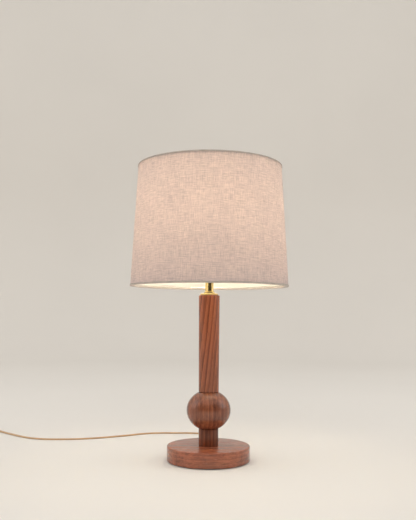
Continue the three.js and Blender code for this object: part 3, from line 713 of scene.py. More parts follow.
MAKERS = {
    "brass": lambda: metal("brass", colours().brass[:], 0.13, 0.04),
    # Painted light: matt brass is painted 1.25 times lighter than the polished brass, for the bulb's light on
    # the disc under the socket.
    "brass_matt": lambda: metal("brass_matt", shade_of(colours().brass, 1.25), 0.3, 0.1),
    "steel": lambda: metal("steel", (0.62, 0.61, 0.59), 0.3, 0.1),
    "aluminium": lambda: metal("aluminium", (0.72, 0.72, 0.71), 0.32, 0.12),
    "tungsten": lambda: metal("tungsten", (0.25, 0.24, 0.23), 0.45, 0.1),
    "phenolic": lambda: smooth_plastic("phenolic", (0.018, 0.014, 0.012), 0.3),
    "ceramic": lambda: smooth_plastic("ceramic", (0.78, 0.75, 0.68), 0.28, 500.0),
    "plug_plastic": lambda: smooth_plastic("plug_plastic", shade_of(colours().cord, 0.85), 0.42),
    "relief_plastic": lambda: smooth_plastic("relief_plastic", shade_of(colours().cord, 0.8), 0.45),
    "strap": strap_cloth,
    "linen": linen,
    "liner": backing,
    "glued_side": glued_side,
    "rim_tape": rim_tape,
    "felt": felt,
    "cord_jacket": cord_jacket,
    "iron": iron,
    "card": card,
    "stem_glass": lambda: opal_glass("stem_glass", 0),
}


def finish(name):
    """The material of that name, made the first time it is asked for."""
    made = bpy.data.materials.get("lamp_" + name)
    if made is None:
        made = MAKERS[name]()
        made.name = "lamp_" + name
    return made


# ---------------------------------------------------------------- patterns made with Geometry Nodes


def repeated(name, template, count, material, circle=None, line=None, taper=1.0):
    """Copies of template made by a Geometry Nodes tree: round a circle about Z of radius circle and height
    0, or along a line between two points, each copy's size going from 1 to taper. Returns a plain mesh."""
    tree = bpy.data.node_groups.new(name + "_pattern", "GeometryNodeTree")
    face = tree.interface
    face.new_socket("Geometry", in_out="INPUT", socket_type="NodeSocketGeometry")
    sockets = {"Count": ("NodeSocketInt", count)}
    if circle:
        sockets["Radius"] = ("NodeSocketFloat", circle)
    else:
        sockets["Start"] = ("NodeSocketVector", line[0])
        sockets["End"] = ("NodeSocketVector", line[1])
        sockets["Taper"] = ("NodeSocketFloat", taper)
    ids = {}
    for key, (kind, _) in sockets.items():
        ids[key] = face.new_socket(key, in_out="INPUT", socket_type=kind).identifier
    face.new_socket("Geometry", in_out="OUTPUT", socket_type="NodeSocketGeometry")
    new, link = tree.nodes.new, tree.links.new
    given, result = new("NodeGroupInput"), new("NodeGroupOutput")
    copies = new("GeometryNodeInstanceOnPoints")
    if circle:
        ring = new("GeometryNodeMeshCircle")
        link(given.outputs["Count"], ring.inputs["Vertices"])
        link(given.outputs["Radius"], ring.inputs["Radius"])
        link(ring.outputs[0], copies.inputs["Points"])
        place = new("GeometryNodeInputPosition")
        face_round = new("FunctionNodeAlignRotationToVector")
        face_round.axis = "X"
        face_round.pivot_axis = "Z"
        link(place.outputs[0], face_round.inputs["Vector"])
        link(face_round.outputs[0], copies.inputs["Rotation"])
    else:
        row = new("GeometryNodeMeshLine")
        row.mode = "END_POINTS"
        link(given.outputs["Count"], row.inputs["Count"])
        link(given.outputs["Start"], row.inputs["Start Location"])
        link(given.outputs["End"], row.inputs["Offset"])
        link(row.outputs[0], copies.inputs["Points"])
        index, share = new("GeometryNodeInputIndex"), new("ShaderNodeMath")
        size = new("ShaderNodeMapRange")
        share.operation = "DIVIDE"
        link(index.outputs[0], share.inputs[0])
        share.inputs[1].default_value = max(1, count - 1)
        link(share.outputs[0], size.inputs["Value"])
        size.inputs["To Min"].default_value = 1.0
        link(given.outputs["Taper"], size.inputs["To Max"])
        link(size.outputs["Result"], copies.inputs["Scale"])
    shape = new("GeometryNodeObjectInfo")
    shape.inputs["Object"].default_value = template
    link(shape.outputs["Geometry"], copies.inputs["Instance"])
    real, paint = new("GeometryNodeRealizeInstances"), new("GeometryNodeSetMaterial")
    paint.inputs["Material"].default_value = material
    link(copies.outputs[0], real.inputs[0])
    link(real.outputs[0], paint.inputs[0])
    link(paint.outputs[0], result.inputs[0])
    host = linked(name + "_host", bpy.data.meshes.new(name + "_host"))
    modifier = host.modifiers.new("Pattern", "NODES")
    modifier.node_group = tree
    for key, (_, value) in sockets.items():
        modifier[ids[key]] = value
    bpy.context.view_layer.update()
    graph = bpy.context.evaluated_depsgraph_get()
    made = linked(name, softened(bpy.data.meshes.new_from_object(host.evaluated_get(graph)), 50))
    for old in (host, template):
        bpy.data.objects.remove(old)
    return made


# ---------------------------------------------------------------- camera, cord and plug

CAMERA_PLACE = (-0.0019, -1.067, 0.232)
CAMERA_ROLL = -0.35  # degrees
CAMERA_LENS, CAMERA_SHIFT = 45.69, 0.1096
CORD_EXIT = (0.0, 0.0923, 0.009)
LEAD = [
    (0, 92.3, 9), (0, 100, 9), (0, 112, 7.8), (0, 126, 4.8), (0, 141, 2.2), (0, 156, 1.5), (0, 180, 1.5),
    (0, 206, 1.5), (-4, 224, 1.5), (-15, 238, 1.5), (-33, 243, 1.5), (-64, 243, 1.5), (-96, 242, 1.5),
    (-127, 233, 1.5), (-156, 214, 1.5), (-186, 197, 1.5), (-214, 183, 1.5), (-245, 173, 1.5),
    (-280, 169, 1.5), (-308, 170, 1.5), (-336, 180, 1.5), (-358, 196, 1.5), (-378, 214, 1.5),
    (-399, 234, 1.5), (-414, 249, 1.6), (-428.4, 263.1, 1.9),
]  # fmt: skip
# The coil, in mm and degrees: its middle, its two columns' radii, the angle at which the cord comes in, the
# turns of the inner column, the angle over which it hops outwards, the heights, and its far end.
COIL_CENTRE = (-469.0, 262.0)
COIL_INNER, COIL_OUTER = 29.4, 35.2
COIL_ENTRY, INNER_TURNS, HOP = 45.6, 3, 54
COIL_FLOOR, COIL_TOP = 2.1, 11.0
COIL_STEP, DOWN_STEPS = 9, 80
CLEAR_PASS = 5.5  # height at which the outer turns pass over the cord that comes in
TAIL = [(241.3, 1.6), (230.9, 2.2), (221.8, 4.2), (215.3, 5.0), (211.0, 5.0)]


class LAMP_OT_camera(bpy.types.Operator):
    """Sets up the camera in front of the lamp, a little under the shade's rim"""

    bl_idname = "lamp.camera"
    bl_label = "Camera"

    def execute(self, context):
        data = bpy.data.cameras.new("lamp_camera")
        data.lens = CAMERA_LENS
        data.sensor_width = 36
        data.shift_y = CAMERA_SHIFT
        data.clip_start, data.clip_end = 0.05, 50
        camera = linked("lamp_camera", data)
        camera.location = CAMERA_PLACE
        camera.rotation_euler = (math.radians(90), math.radians(CAMERA_ROLL), 0)
        context.scene.camera = camera
        return {"FINISHED"}


def eased(t):
    """Goes from 0 to 1 with t, starting and ending gently."""
    return t * t * (3 - 2 * t)


def coil_route():
    """The coil's middle line in mm: an inner column of turns that rises, a hop outwards and an outer column
    that comes down again and leaves towards -Y."""
    points = []

    def at(angle, radius, height):
        points.append((*arc(*COIL_CENTRE, radius, [angle])[0], height))

    inner = INNER_TURNS * 360
    for k in range(0, inner, COIL_STEP):
        at(COIL_ENTRY + k, COIL_INNER, COIL_FLOOR + (COIL_TOP - COIL_FLOOR) * k / inner)
    for k in range(0, HOP, COIL_STEP):
        at(COIL_ENTRY + inner + k, COIL_INNER + (COIL_OUTER - COIL_INNER) * eased(k / HOP), COIL_TOP)
    start = COIL_ENTRY + inner + HOP
    second_pass = 720 - HOP
    down = 900 - start % 360  # two turns and what is left to the coil's -X side
    for k in range(DOWN_STEPS + 1):
        turn = down * k / DOWN_STEPS
        if turn < second_pass:
            height = COIL_TOP + (CLEAR_PASS - COIL_TOP) * turn / second_pass
        else:
            t = (turn - second_pass) / (down - second_pass)
            height = CLEAR_PASS + (TAIL[0][1] - CLEAR_PASS) * eased(t)
        at(start + turn, COIL_OUTER, height)
    return points


def cord_section(width, thickness):
    """Two round conductors side by side with a groove between them."""
    r = thickness / 2
    right = arc(width / 2 - r, 0, r, range(-110, 111, 22))
    return right + [(-x, -y) for x, y in right]


def plug_body():
    """A moulded plug that narrows to the cord, flat underneath."""
    lo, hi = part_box("plug_body")
    x = (lo.x + hi.x) / 2
    length, height = hi.y - lo.y, hi.z - lo.z - 0.0004
    points, rows, sides = [], 28, 40
    for i in range(rows + 1):
        t = i / rows  # from the blades to the cord
        neck = eased(t)
        grip = 1 - 0.07 * math.exp(-(((t - 0.42) / 0.16) ** 2))  # a waist for the fingers
        end = min(1, 0.8 + 2.6 * t) if t < 0.08 else 1  # the rounded front
        close = 1 if t < 0.93 else 1 - 0.35 * ((t - 0.93) / 0.07) ** 2  # the rounded back
        width = (hi.x - lo.x) * (1 - 0.6 * neck) * grip * end * close
        thick = height * (1 - 0.42 * neck) * end * close
        centre = lo.z + 0.0003 + height * (0.5 - 0.17 * neck)
        for px, pz in ellipse(width, thick, sides, 4.2 - 1.6 * neck):
            points.append((x + px, lo.y + length * t, centre + pz))
    faces = band_faces(rows + 1, sides)
    faces += [list(range(sides)), list(range(rows * sides, (rows + 1) * sides))[::-1]]
    return face_out(mesh_object("plug", points, faces, sharp=55)), x, lo.y, length


def plug_blade(node, name):
    """A flat blade with a rounded tip and a hole."""
    lo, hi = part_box(node)
    tip = (hi.z - lo.z) * 0.32
    outline = [(hi.y, lo.z), (hi.y, hi.z)]
    outline += arc(lo.y + tip, hi.z - tip, tip, range(90, 181, 15))
    outline += arc(lo.y + tip, lo.z + tip, tip, range(180, 271, 15))
    hole_in, hole_radius = 0.0042, 0.0016
    hole = arc(lo.y + hole_in, (lo.z + hi.z) / 2, hole_radius, range(0, 360, 18))
    work = bmesh.new()
    rings = [[work.verts.new((lo.x, y, z)) for y, z in ring] for ring in (outline, hole)]
    edges = [work.edges.new((ring[i - 1], ring[i])) for ring in rings for i in range(len(ring))]
    bmesh.ops.triangle_fill(work, edges=edges, use_beauty=True)
    walls = bmesh.ops.extrude_face_region(work, geom=work.faces[:])["geom"]
    corners = [v for v in walls if isinstance(v, bmesh.types.BMVert)]
    bmesh.ops.translate(work, verts=corners, vec=(hi.x - lo.x, 0, 0))
    bmesh.ops.recalc_face_normals(work, faces=work.faces)
    mesh = bpy.data.meshes.new(node)
    work.to_mesh(mesh)
    work.free()
    return face_out(linked(name, mesh))


class LAMP_OT_cord(bpy.types.Operator):
    """Makes the cord, its coil and strap, the strain relief and the plug"""

    bl_idname = "lamp.cord"
    bl_label = "Cord and Plug"

    def execute(self, context):
        sizes = context.scene.lamp_cord
        tail_x = COIL_CENTRE[0] - COIL_OUTER
        route = LEAD + coil_route() + [(tail_x, y, z) for y, z in TAIL]
        path = smooth_path([Vector(p) * MM for p in route], 0.003)
        section = cord_section(sizes.width, sizes.thickness)
        cord = swept("cord", path, section, up=(0, 0, 1), sharp=180)
        fit(cord, "lamp", "cord", finish("cord_jacket"), "cord_lead", "cord_coil", "cord_tail")

        body, x, foot, length = plug_body()
        top = high("plug_body").z
        half = Vector((0.0052, 0.0005, 0.0006))
        bar = rolled_box("grip_bar", Vector((x, 0, 0)) - half, Vector((x, 0, 0)) + half, 0.0004, 2)
        row = ((0, foot + length * 0.3, top - 0.0019), (0, foot + length * 0.56, top - 0.0043))
        bars = repeated("plug_grip", bar, 5, finish("plug_plastic"), line=row)
        plug = joined("plug", [body, bars])
        fit(plug, "lamp", "cord_plastic", finish("plug_plastic"), "plug_body")
        for side in ("left", "right"):
            blade = plug_blade("plug_blade_" + side, "blade_" + side)
            fit(blade, "lamp", "brass", finish("brass_matt"), "plug_blade_" + side)

        strap = self.strap()
        fit(strap, "lamp", "phenolic", finish("strap"), "cord_tie")
        self.relief()

        foot = low("threaded_rod").z / MM
        inner = [
            (0, 0, high("inner_cord").z / MM - 0.2), (0, 0, 270), (0, 0, 200), (0, 0, 120), (0, 0, 50),
            (0, 0, foot + 4), (0, 0.2, foot), (0, 1.9, foot - 3.7), (0, 6, foot - 5.3), (0, 12, foot - 5),
            (0, 24, 8.4), (0, 34, 9), (0, 50.4, 9),
        ]  # fmt: skip
        line = smooth_path([Vector(p) * MM for p in inner], 0.004)
        flex = swept("inner_flex", line, ellipse(0.0052, 0.0027, 12), sharp=180)
        fit(flex, "lamp", "cord", finish("cord_jacket"), "inner_cord")
        return {"FINISHED"}

    def strap(self):
        """A hook-and-loop strap round the coil, its end lapped on top; the numbers are mm."""
        near, far, foot, top = COIL_INNER - 3.2, COIL_OUTER + 3.3, 0.4, 12.65
        wide, thick, corner = 7.0, 0.44, 1.3
        loop = [(near + 5, top)]
        for x, z, start in (
            (far - corner, top - corner, 90),
            (far - corner, foot + corner, 0),
            (near + corner, foot + corner, 270),
            (near + corner, top - corner, 180),
        ):
            loop += arc(x, z, corner, range(start, start - 91, -15))
        loop += [(near + 4, top + 0.05), (far - 3.4, top + 0.62)]
        path = smooth_path([Vector((x, 0, z)) * MM for x, z in loop], 0.0006)
        w, t = wide / 2 * MM, thick / 2 * MM
        points = []
        for i, p in enumerate(path):
            along = path[min(i + 1, len(path) - 1)] - path[max(i - 1, 0)]
            out = Vector((-along.z, 0, along.x)).normalized()
            points += [p + Vector((0, y, 0)) + out * off for y, off in ((w, -t), (w, t), (-w, t), (-w, -t))]
        faces = band_faces(len(path), 4)
        faces += [[3, 2, 1, 0], [len(points) - 4 + j for j in range(4)]]
        obj = face_out(mesh_object("cord_strap", points, faces, sharp=40))
        place = Matrix.Translation(Vector((*COIL_CENTRE, 0)) * MM)
        return moved(obj, place @ Matrix.Rotation(math.radians(150), 4, "Z"))

    def relief(self):
        """The tapered sleeve at the back of the base: a flange, a cone and its ribs."""
        start = bpy.context.scene.lamp_stem.base_radius - 0.0002
        wide, end = high("strain_relief").x, high("strain_relief").y
        tip = 0.0036
        profile = [
            (0, start), (wide, start), (wide, start + 0.0021), (0.0049, start + 0.0028),
            (0.0046, start + 0.005), (tip - 0.0001, end - 0.0012), (tip - 0.0005, end), (0, end),
        ]  # fmt: skip
        cone = turned("strain_relief_cone", rounded(profile, 0.0005, 4), 48)
        rib = washer("rib", 0.0038, 0.0053, -0.00055, 0.00055, 0.0004, 32)
        row = ((0, 0, start + 0.0055), (0, 0, end - 0.0022))
        ribs = repeated("relief_ribs", rib, 7, finish("relief_plastic"), line=row, taper=0.74)
        sleeve = joined("strain_relief_sleeve", [cone, ribs])
        place = Matrix.Translation((0, 0, CORD_EXIT[2]))
        moved(sleeve, place @ Matrix.Rotation(math.radians(-90), 4, "X"))
        fit(sleeve, "lamp", "cord_plastic", finish("relief_plastic"), "strain_relief")


# ---------------------------------------------------------------- base, stem and brass


class LAMP_OT_base(bpy.types.Operator):
    """Makes the round base with its hollow, and the felt under it"""

    bl_idname = "lamp.base"
    bl_label = "Base"

    def execute(self, context):
        sizes = context.scene.lamp_stem
        foot, top = span("base_disc")
        radius, hollow, hollow_top = sizes.base_radius, 0.044, 0.017
        seat, seat_top = 0.0623, high("felt_pad").z + 0.0003
        points = [
            (BORE, hollow_top), (hollow, hollow_top), (hollow, seat_top), (seat, seat_top), (seat, foot),
            (radius, foot), (radius, top), (BORE, top),
        ]  # fmt: skip
        edges = [0, 0.0008, 0.0004, 0.0004, 0.0004, 0.0009, sizes.base_edge, 0]
        disc = turned("base", rounded(points, edges, 6), 192, sharp=50)
        # Painted light: the base's walnut is painted 1.18 times lighter for the light on its top.
        wood = walnut("walnut_base", "X", (0.3, 0.05, 0.045), painted_shading=1.18, shine=0.7, figure=0.18)
        fit(disc, "lamp", "walnut", wood, "base_disc")

        edge = high("felt_pad")
        pad = washer("felt", 0, edge.x, 0.0001, edge.z, 0.0007, 160, 4)
        fit(pad, "lamp", "felt", finish("felt"), "felt_pad")
        return {"FINISHED"}


class LAMP_OT_stem(bpy.types.Operator):
    """Turns the lower neck, the ball and the column"""

    bl_idname = "lamp.stem"
    bl_label = "Stem"

    def execute(self, context):
        sizes = context.scene.lamp_stem
        neck = washer("neck", BORE, high("lower_neck").x, *span("lower_neck"), 0.0006)
        # Painted shade: the neck's walnut is painted darker (0.68) for the shade under the ball.
        wood = walnut("walnut_neck", "Z", (0.347, 0.031, 0.02), painted_shading=0.68, shine=0.3)
        fit(neck, "lamp", "walnut", wood, "lower_neck")

        foot, top = span("ball")
        middle, half = (foot + top) / 2, 0.0326  # half is the whole ball's, and its two ends are cut off
        reach = math.asin((top - middle) / half)
        skin, steps, chamfer = [], 48, 0.0002
        for k in range(steps + 1):
            a = -reach + 2 * reach * k / steps
            skin.append((sizes.ball_radius * math.cos(a), middle + half * math.sin(a)))
        for end in (0, -1):
            skin[end] = (skin[end][0] - chamfer, skin[end][1])
        ball = turned("ball_bead", skin + [(BORE, top), (BORE, foot)], 144, sharp=35)
        # Painted shade: the ball's walnut is painted a little darker (0.96).
        wood = walnut("walnut_ball", "Z", (0.333, 0.052, 0.1), painted_shading=0.96, shine=0.6, figure=0.24)
        fit(ball, "lamp", "walnut", wood, "ball")

        foot, top = span("column")
        wide, narrow = sizes.column_radius, sizes.column_radius - 0.0006
        outline = [(BORE, foot), (narrow, foot), (wide, top), (BORE, top)]
        column = turned("stem_column", rounded(outline, [0, 0.0007, sizes.column_edge, 0], 7), 128)
        # Painted light: the column's walnut is painted 1.2 times lighter for the bulb's light on it.
        wood = walnut("walnut_column", "Z", (-0.358, -0.036, 0.3), lean=6, painted_shading=1.2, shine=0.4)
        fit(column, "lamp", "walnut", wood, "column")
        return {"FINISHED"}


class LAMP_OT_brass(bpy.types.Operator):
    """Turns the brass disc and neck on top of the column"""

    bl_idname = "lamp.brass"
    bl_label = "Brass Neck"

    def execute(self, context):
        foot, top = span("check_ring")
        wide, dip = high("check_ring").x, top - 0.0003
        ring = [(BORE, foot), (wide, foot), (wide, top), (0.0098, top), (0.0092, dip), (BORE, dip)]
        disc = turned("brass_disc", rounded(ring, [0, 0.0009, 0.0011, 0.0003, 0.0003, 0], 5), 128)
        fit(disc, "lamp", "brass", finish("brass_matt"), "check_ring")

        lo, hi = span("brass_neck")
        wide = high("brass_neck").x
        cap = wide - 0.0012
        outline = [
            (BORE, lo), (wide, lo), (wide, lo + 0.0016), (wide - 0.0008, lo + 0.0026), (0.007, lo + 0.0036),
            (0.0069, lo + 0.009), (0.00665, hi - 0.0052), (cap, hi - 0.0018), (cap, hi), (BORE, hi),
        ]  # fmt: skip
        edges = [0, 0.0005, 0.0005, 0.0004, 0.0008, 0.02, 0.003, 0.0008, 0.0005, 0]
        neck = turned("brass_tube", rounded(outline, edges, 6), 96)
        fit(neck, "lamp", "brass", finish("brass"), "brass_neck")
        return {"FINISHED"}


# ---------------------------------------------------------------- socket, harp and bulb


class LAMP_OT_socket(bpy.types.Operator):
    """Makes the bulb socket's cap, shell, liner and turn switch"""

    bl_idname = "lamp.socket"
    bl_label = "Socket"

    def execute(self, context):
        lo, hi = span("socket_cap")
        wide, hub, step = high("socket_cap").x, 0.008, lo + 0.0072
        inner, bead = wide - 0.001, wide + 0.0004
        outline = [
            (BORE, lo), (hub, lo), (hub, lo + 0.005), (wide - 0.0016, lo + 0.009), (wide, lo + 0.012),
            (wide, hi - 0.0034), (bead, hi - 0.0028), (bead, hi - 0.0014), (wide, hi - 0.0008), (wide, hi),
            (inner, hi), (inner, lo + 0.013), (inner - 0.0014, lo + 0.0104), (hub, step), (BORE, step),
        ]  # fmt: skip
        edges = [0, 0.0006, 0.0016, 0.002, 0.003] + [0.0004] * 4 + [0.0003] * 2 + [0.001] * 3 + [0]
        cap = turned("cap", rounded(outline, edges, 4), 96)
        fit(cap, "lamp", "brass", finish("brass"), "socket_cap")

        lo, hi = span("socket_shell")
        bead = high("socket_shell").x
        wide, rows = bead - 0.0009, 70
        grooves = (lo + 0.0125, lo + 0.0155)
        dent = lambda z: 0.0005 * sum(math.exp(-(((z - c) / 0.0006) ** 2)) for c in grooves)
        heights = [lo + (hi - 0.003 - lo) * k / rows for k in range(rows + 1)]
        skin = [(wide - dent(z), z) for z in heights]
        inner = wide - 0.0008
        skin += [(bead, hi - 0.002), (bead, hi - 0.001), (wide, hi), (inner, hi), (inner, lo)]
        fit(turned("shell", skin, 96), "lamp", "brass", finish("brass"), "socket_shell")

        ring = high("socket_insulator").x
        tube = washer("card_tube", ring - 0.0006, ring, *span("socket_insulator"), 0.0002)
        fit(tube, "lamp", "card", finish("card"), "socket_insulator")

        lo, hi = span("screw_shell")
        ring, rows = high("screw_shell").x, 44
        grip = lambda r, z, a: 0.00028 * math.sin(TURN * (z / THREAD_PITCH) - a)
        heights = [lo + (hi - lo) * k / rows for k in range(rows + 1)]
        wall = [(ring - 0.0002, z) for z in heights] + [(ring - 0.00065, z) for z in heights[::-1]]
        thread = turned("thread_shell", wall, 72, thread=grip)
        fit(thread, "lamp", "aluminium", finish("aluminium"), "screw_shell")

        self.switch()
        return {"FINISHED"}

    def switch(self):
        """The turn key on its shaft, with ridges for the fingers."""
        lo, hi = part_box("turn_knob")
        length, axis = hi.y - lo.y, (lo.z + hi.z) / 2
        lay_down = Matrix.Rotation(math.radians(90), 4, "X")
        hub = [
            (0, 0), (0.0043, 0), (0.0049, length * 0.22), (0.0047, length * 0.5), (0.003, length * 0.62),
            (0, length * 0.64),
        ]  # fmt: skip
        body = turned("knob_hub", rounded(hub, 0.0007, 4), 48)
        ridge = rolled_box("ridge", (-0.0003, -0.0003, 0.0008), (0.0004, 0.0003, length * 0.46), 0.0002, 2)
        ridges = repeated("knob_ridges", ridge, 24, finish("phenolic"), circle=0.0046)
        key = rolled_box("key", (-0.0065, -0.0016, length * 0.3), (0.0065, 0.0016, length), 0.0014, 5)
        knob = joined("switch_key", [body, ridges, key])
        moved(knob, Matrix.Translation((0, hi.y, axis)) @ lay_down)
        fit(knob, "switch", "phenolic", finish("phenolic"), "turn_knob")
        lo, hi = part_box("switch_shaft")
        pin = washer("switch_pin", 0, 0.0018, 0, hi.y - lo.y, 0.0003, 32)
        moved(pin, Matrix.Translation((0, hi.y, axis)) @ lay_down)
        fit(pin, "switch", "steel", finish("steel"), "switch_shaft")


class LAMP_OT_harp(bpy.types.Operator):
    """Bends the harp and its saddle, with the two sleeves and the threaded stud"""

    bl_idname = "lamp.harp"
    bl_label = "Harp"

    def execute(self, context):
        lo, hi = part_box("harp_saddle")
        strip_top = lo.z + 0.0016
        leg = 0.029
        parts = [rolled_box("saddle_bar", (lo.x, lo.y, lo.z), (hi.x, hi.y, strip_top), 0.0006, 3)]
        for side in (-1, 1):
            prong = washer("prong", 0, 0.0019, strip_top - 0.0008, hi.z, 0.0008, 32, 4)
            parts.append(moved(prong, Matrix.Translation((side * leg, 0, 0))))
        fit(joined("saddle", parts), "lamp", "brass", finish("brass_matt"), "harp_saddle")

        foot, top = span("harp")
        crown = top - 0.0032
        straight = high("harp_saddle").z + 0.03
        bow, wide = crown - straight, 0.057
        right = [
            (leg, foot), (leg, (foot + straight) / 2), (leg, straight - 0.004), (leg, straight - 0.001),
            (leg + 0.0012, straight + 0.003), (leg + (wide - leg) * 0.55, straight + bow * 0.2),
            (wide - 0.002, straight + bow * 0.46), (wide, straight + bow * 0.62),
            (wide * 0.9, straight + bow * 0.81), (wide * 0.64, straight + bow * 0.94),
            (wide * 0.32, crown - 0.0006), (0.006, crown),
        ]  # fmt: skip
        line = [Vector((x, 0, z)) for x, z in right] + [Vector((-x, 0, z)) for x, z in right[::-1]]
        section = ellipse(0.0044, 0.0044, 20)
        wire = swept("harp_wire", smooth_path(line, 0.003), section, up=(0, 1, 0), sharp=180)
        eye = washer("harp_crown", 0.0034, 0.007, crown - 0.0032, top, 0.0008, 64, 4)
        fit(joined("harp_bow", [wire, eye]), "harp", "brass", finish("brass_matt"), "harp")

        inner, outer = 0.0025, 0.0035
        for name, side in (("left", -1), ("right", 1)):
            node = "harp_sleeve_" + name
            foot, top = span(node)
            tube = [
                (inner, foot), (outer, foot), (outer, foot + 0.004), (outer, top - 0.0022), (0.0033, top),
                (inner, top),
            ]  # fmt: skip
            sleeve = turned("sleeve_" + name, rounded(tube, 0.0003, 3), 48)
            moved(sleeve, Matrix.Translation((side * leg, 0, 0)))
            fit(sleeve, "sleeve_" + name, "brass", finish("brass_matt"), node)

        foot, top = span("harp_stud")
        core, root, flange = 0.0031, 0.00268, 0.007
        rest, step = high("harp").z + 0.0003, 0.0008
        outline = [(0, foot), (core, foot), (core, rest), (flange, rest)]
        outline += [(flange, rest + 0.0018), (core, rest + 0.0018)]
        z = rest + 0.0024
        while z < top - step:
            outline += [(core, z), (root, z + step / 2)]
            z += step
        stud = turned("stud", outline + [(0.0024, top), (0, top)], 40, sharp=30)
        fit(stud, "stud", "brass", finish("brass_matt"), "harp_stud")
        return {"FINISHED"}


class LAMP_OT_bulb(bpy.types.Operator):
    """Blows the glass bulb on its screw base"""

    bl_idname = "lamp.bulb"
    bl_label = "Bulb"

    def execute(self, context):
        lo, hi = span("bulb_base")
        wide, start, rows = high("bulb_base").x, lo + 0.003, 60
        cup = [(0, lo), (0.0078, lo), (wide - 0.0005, start)]
        cup += [(wide - 0.0004, start + (hi - start) * k / rows) for k in range(1, rows + 1)]
        inside = [(wide - 0.0011, hi), (wide - 0.0011, lo + 0.0036), (0, lo + 0.0036)]

        def screw(r, z, angle):
            if r <= wide - 0.001:
                return 0
            fade = min(1, max(0, (hi - 0.003 - z) / 0.002)) * min(1, max(0, (z - start) / 0.002))
            return 0.0004 * fade * math.sin(TURN * z / THREAD_PITCH - angle)

        base = turned("bulb_screw", cup + inside, 96, thread=screw, sharp=50)
        fit(base, "bulb", "aluminium", finish("aluminium"), "bulb_base")

        foot, top = span("bulb_glass")
        radius, wall, neck, rows = high("bulb_glass").x, 0.0008, 0.012, 24
        middle, flare = top - radius, hi + 0.002
        rise = middle - flare

        def skin(inset):
            """Half of the glass in section: a straight neck, a swelling and half a ball."""
            ball = radius - inset
            out = [(neck - inset, foot), (neck - inset, flare)]
            a, b = Vector((neck - inset, flare)), Vector((neck + 0.001 - inset, flare + rise * 0.45))
            c, d = Vector((ball - 0.001, middle - rise * 0.5)), Vector((ball, middle))
            for k in range(1, rows + 1):
                t = k / rows
                p = a * (1 - t) ** 3 + b * 3 * t * (1 - t) ** 2 + c * 3 * t * t * (1 - t) + d * t**3
                out.append(tuple(p))
            for k in range(1, rows):
                x, z = polar(ball, math.pi / 2 * k / rows)
                out.append((x, middle + z))
            return out + [(0, middle + ball)]

        glass = turned("bulb_envelope", skin(0) + skin(wall)[::-1], 96, sharp=60)
        fit(glass, "bulb", "glass", opal_glass("bulb_opal", context.scene.lamp_lights.bulb), "bulb_glass")
        return {"FINISHED"}


# ---------------------------------------------------------------- shade


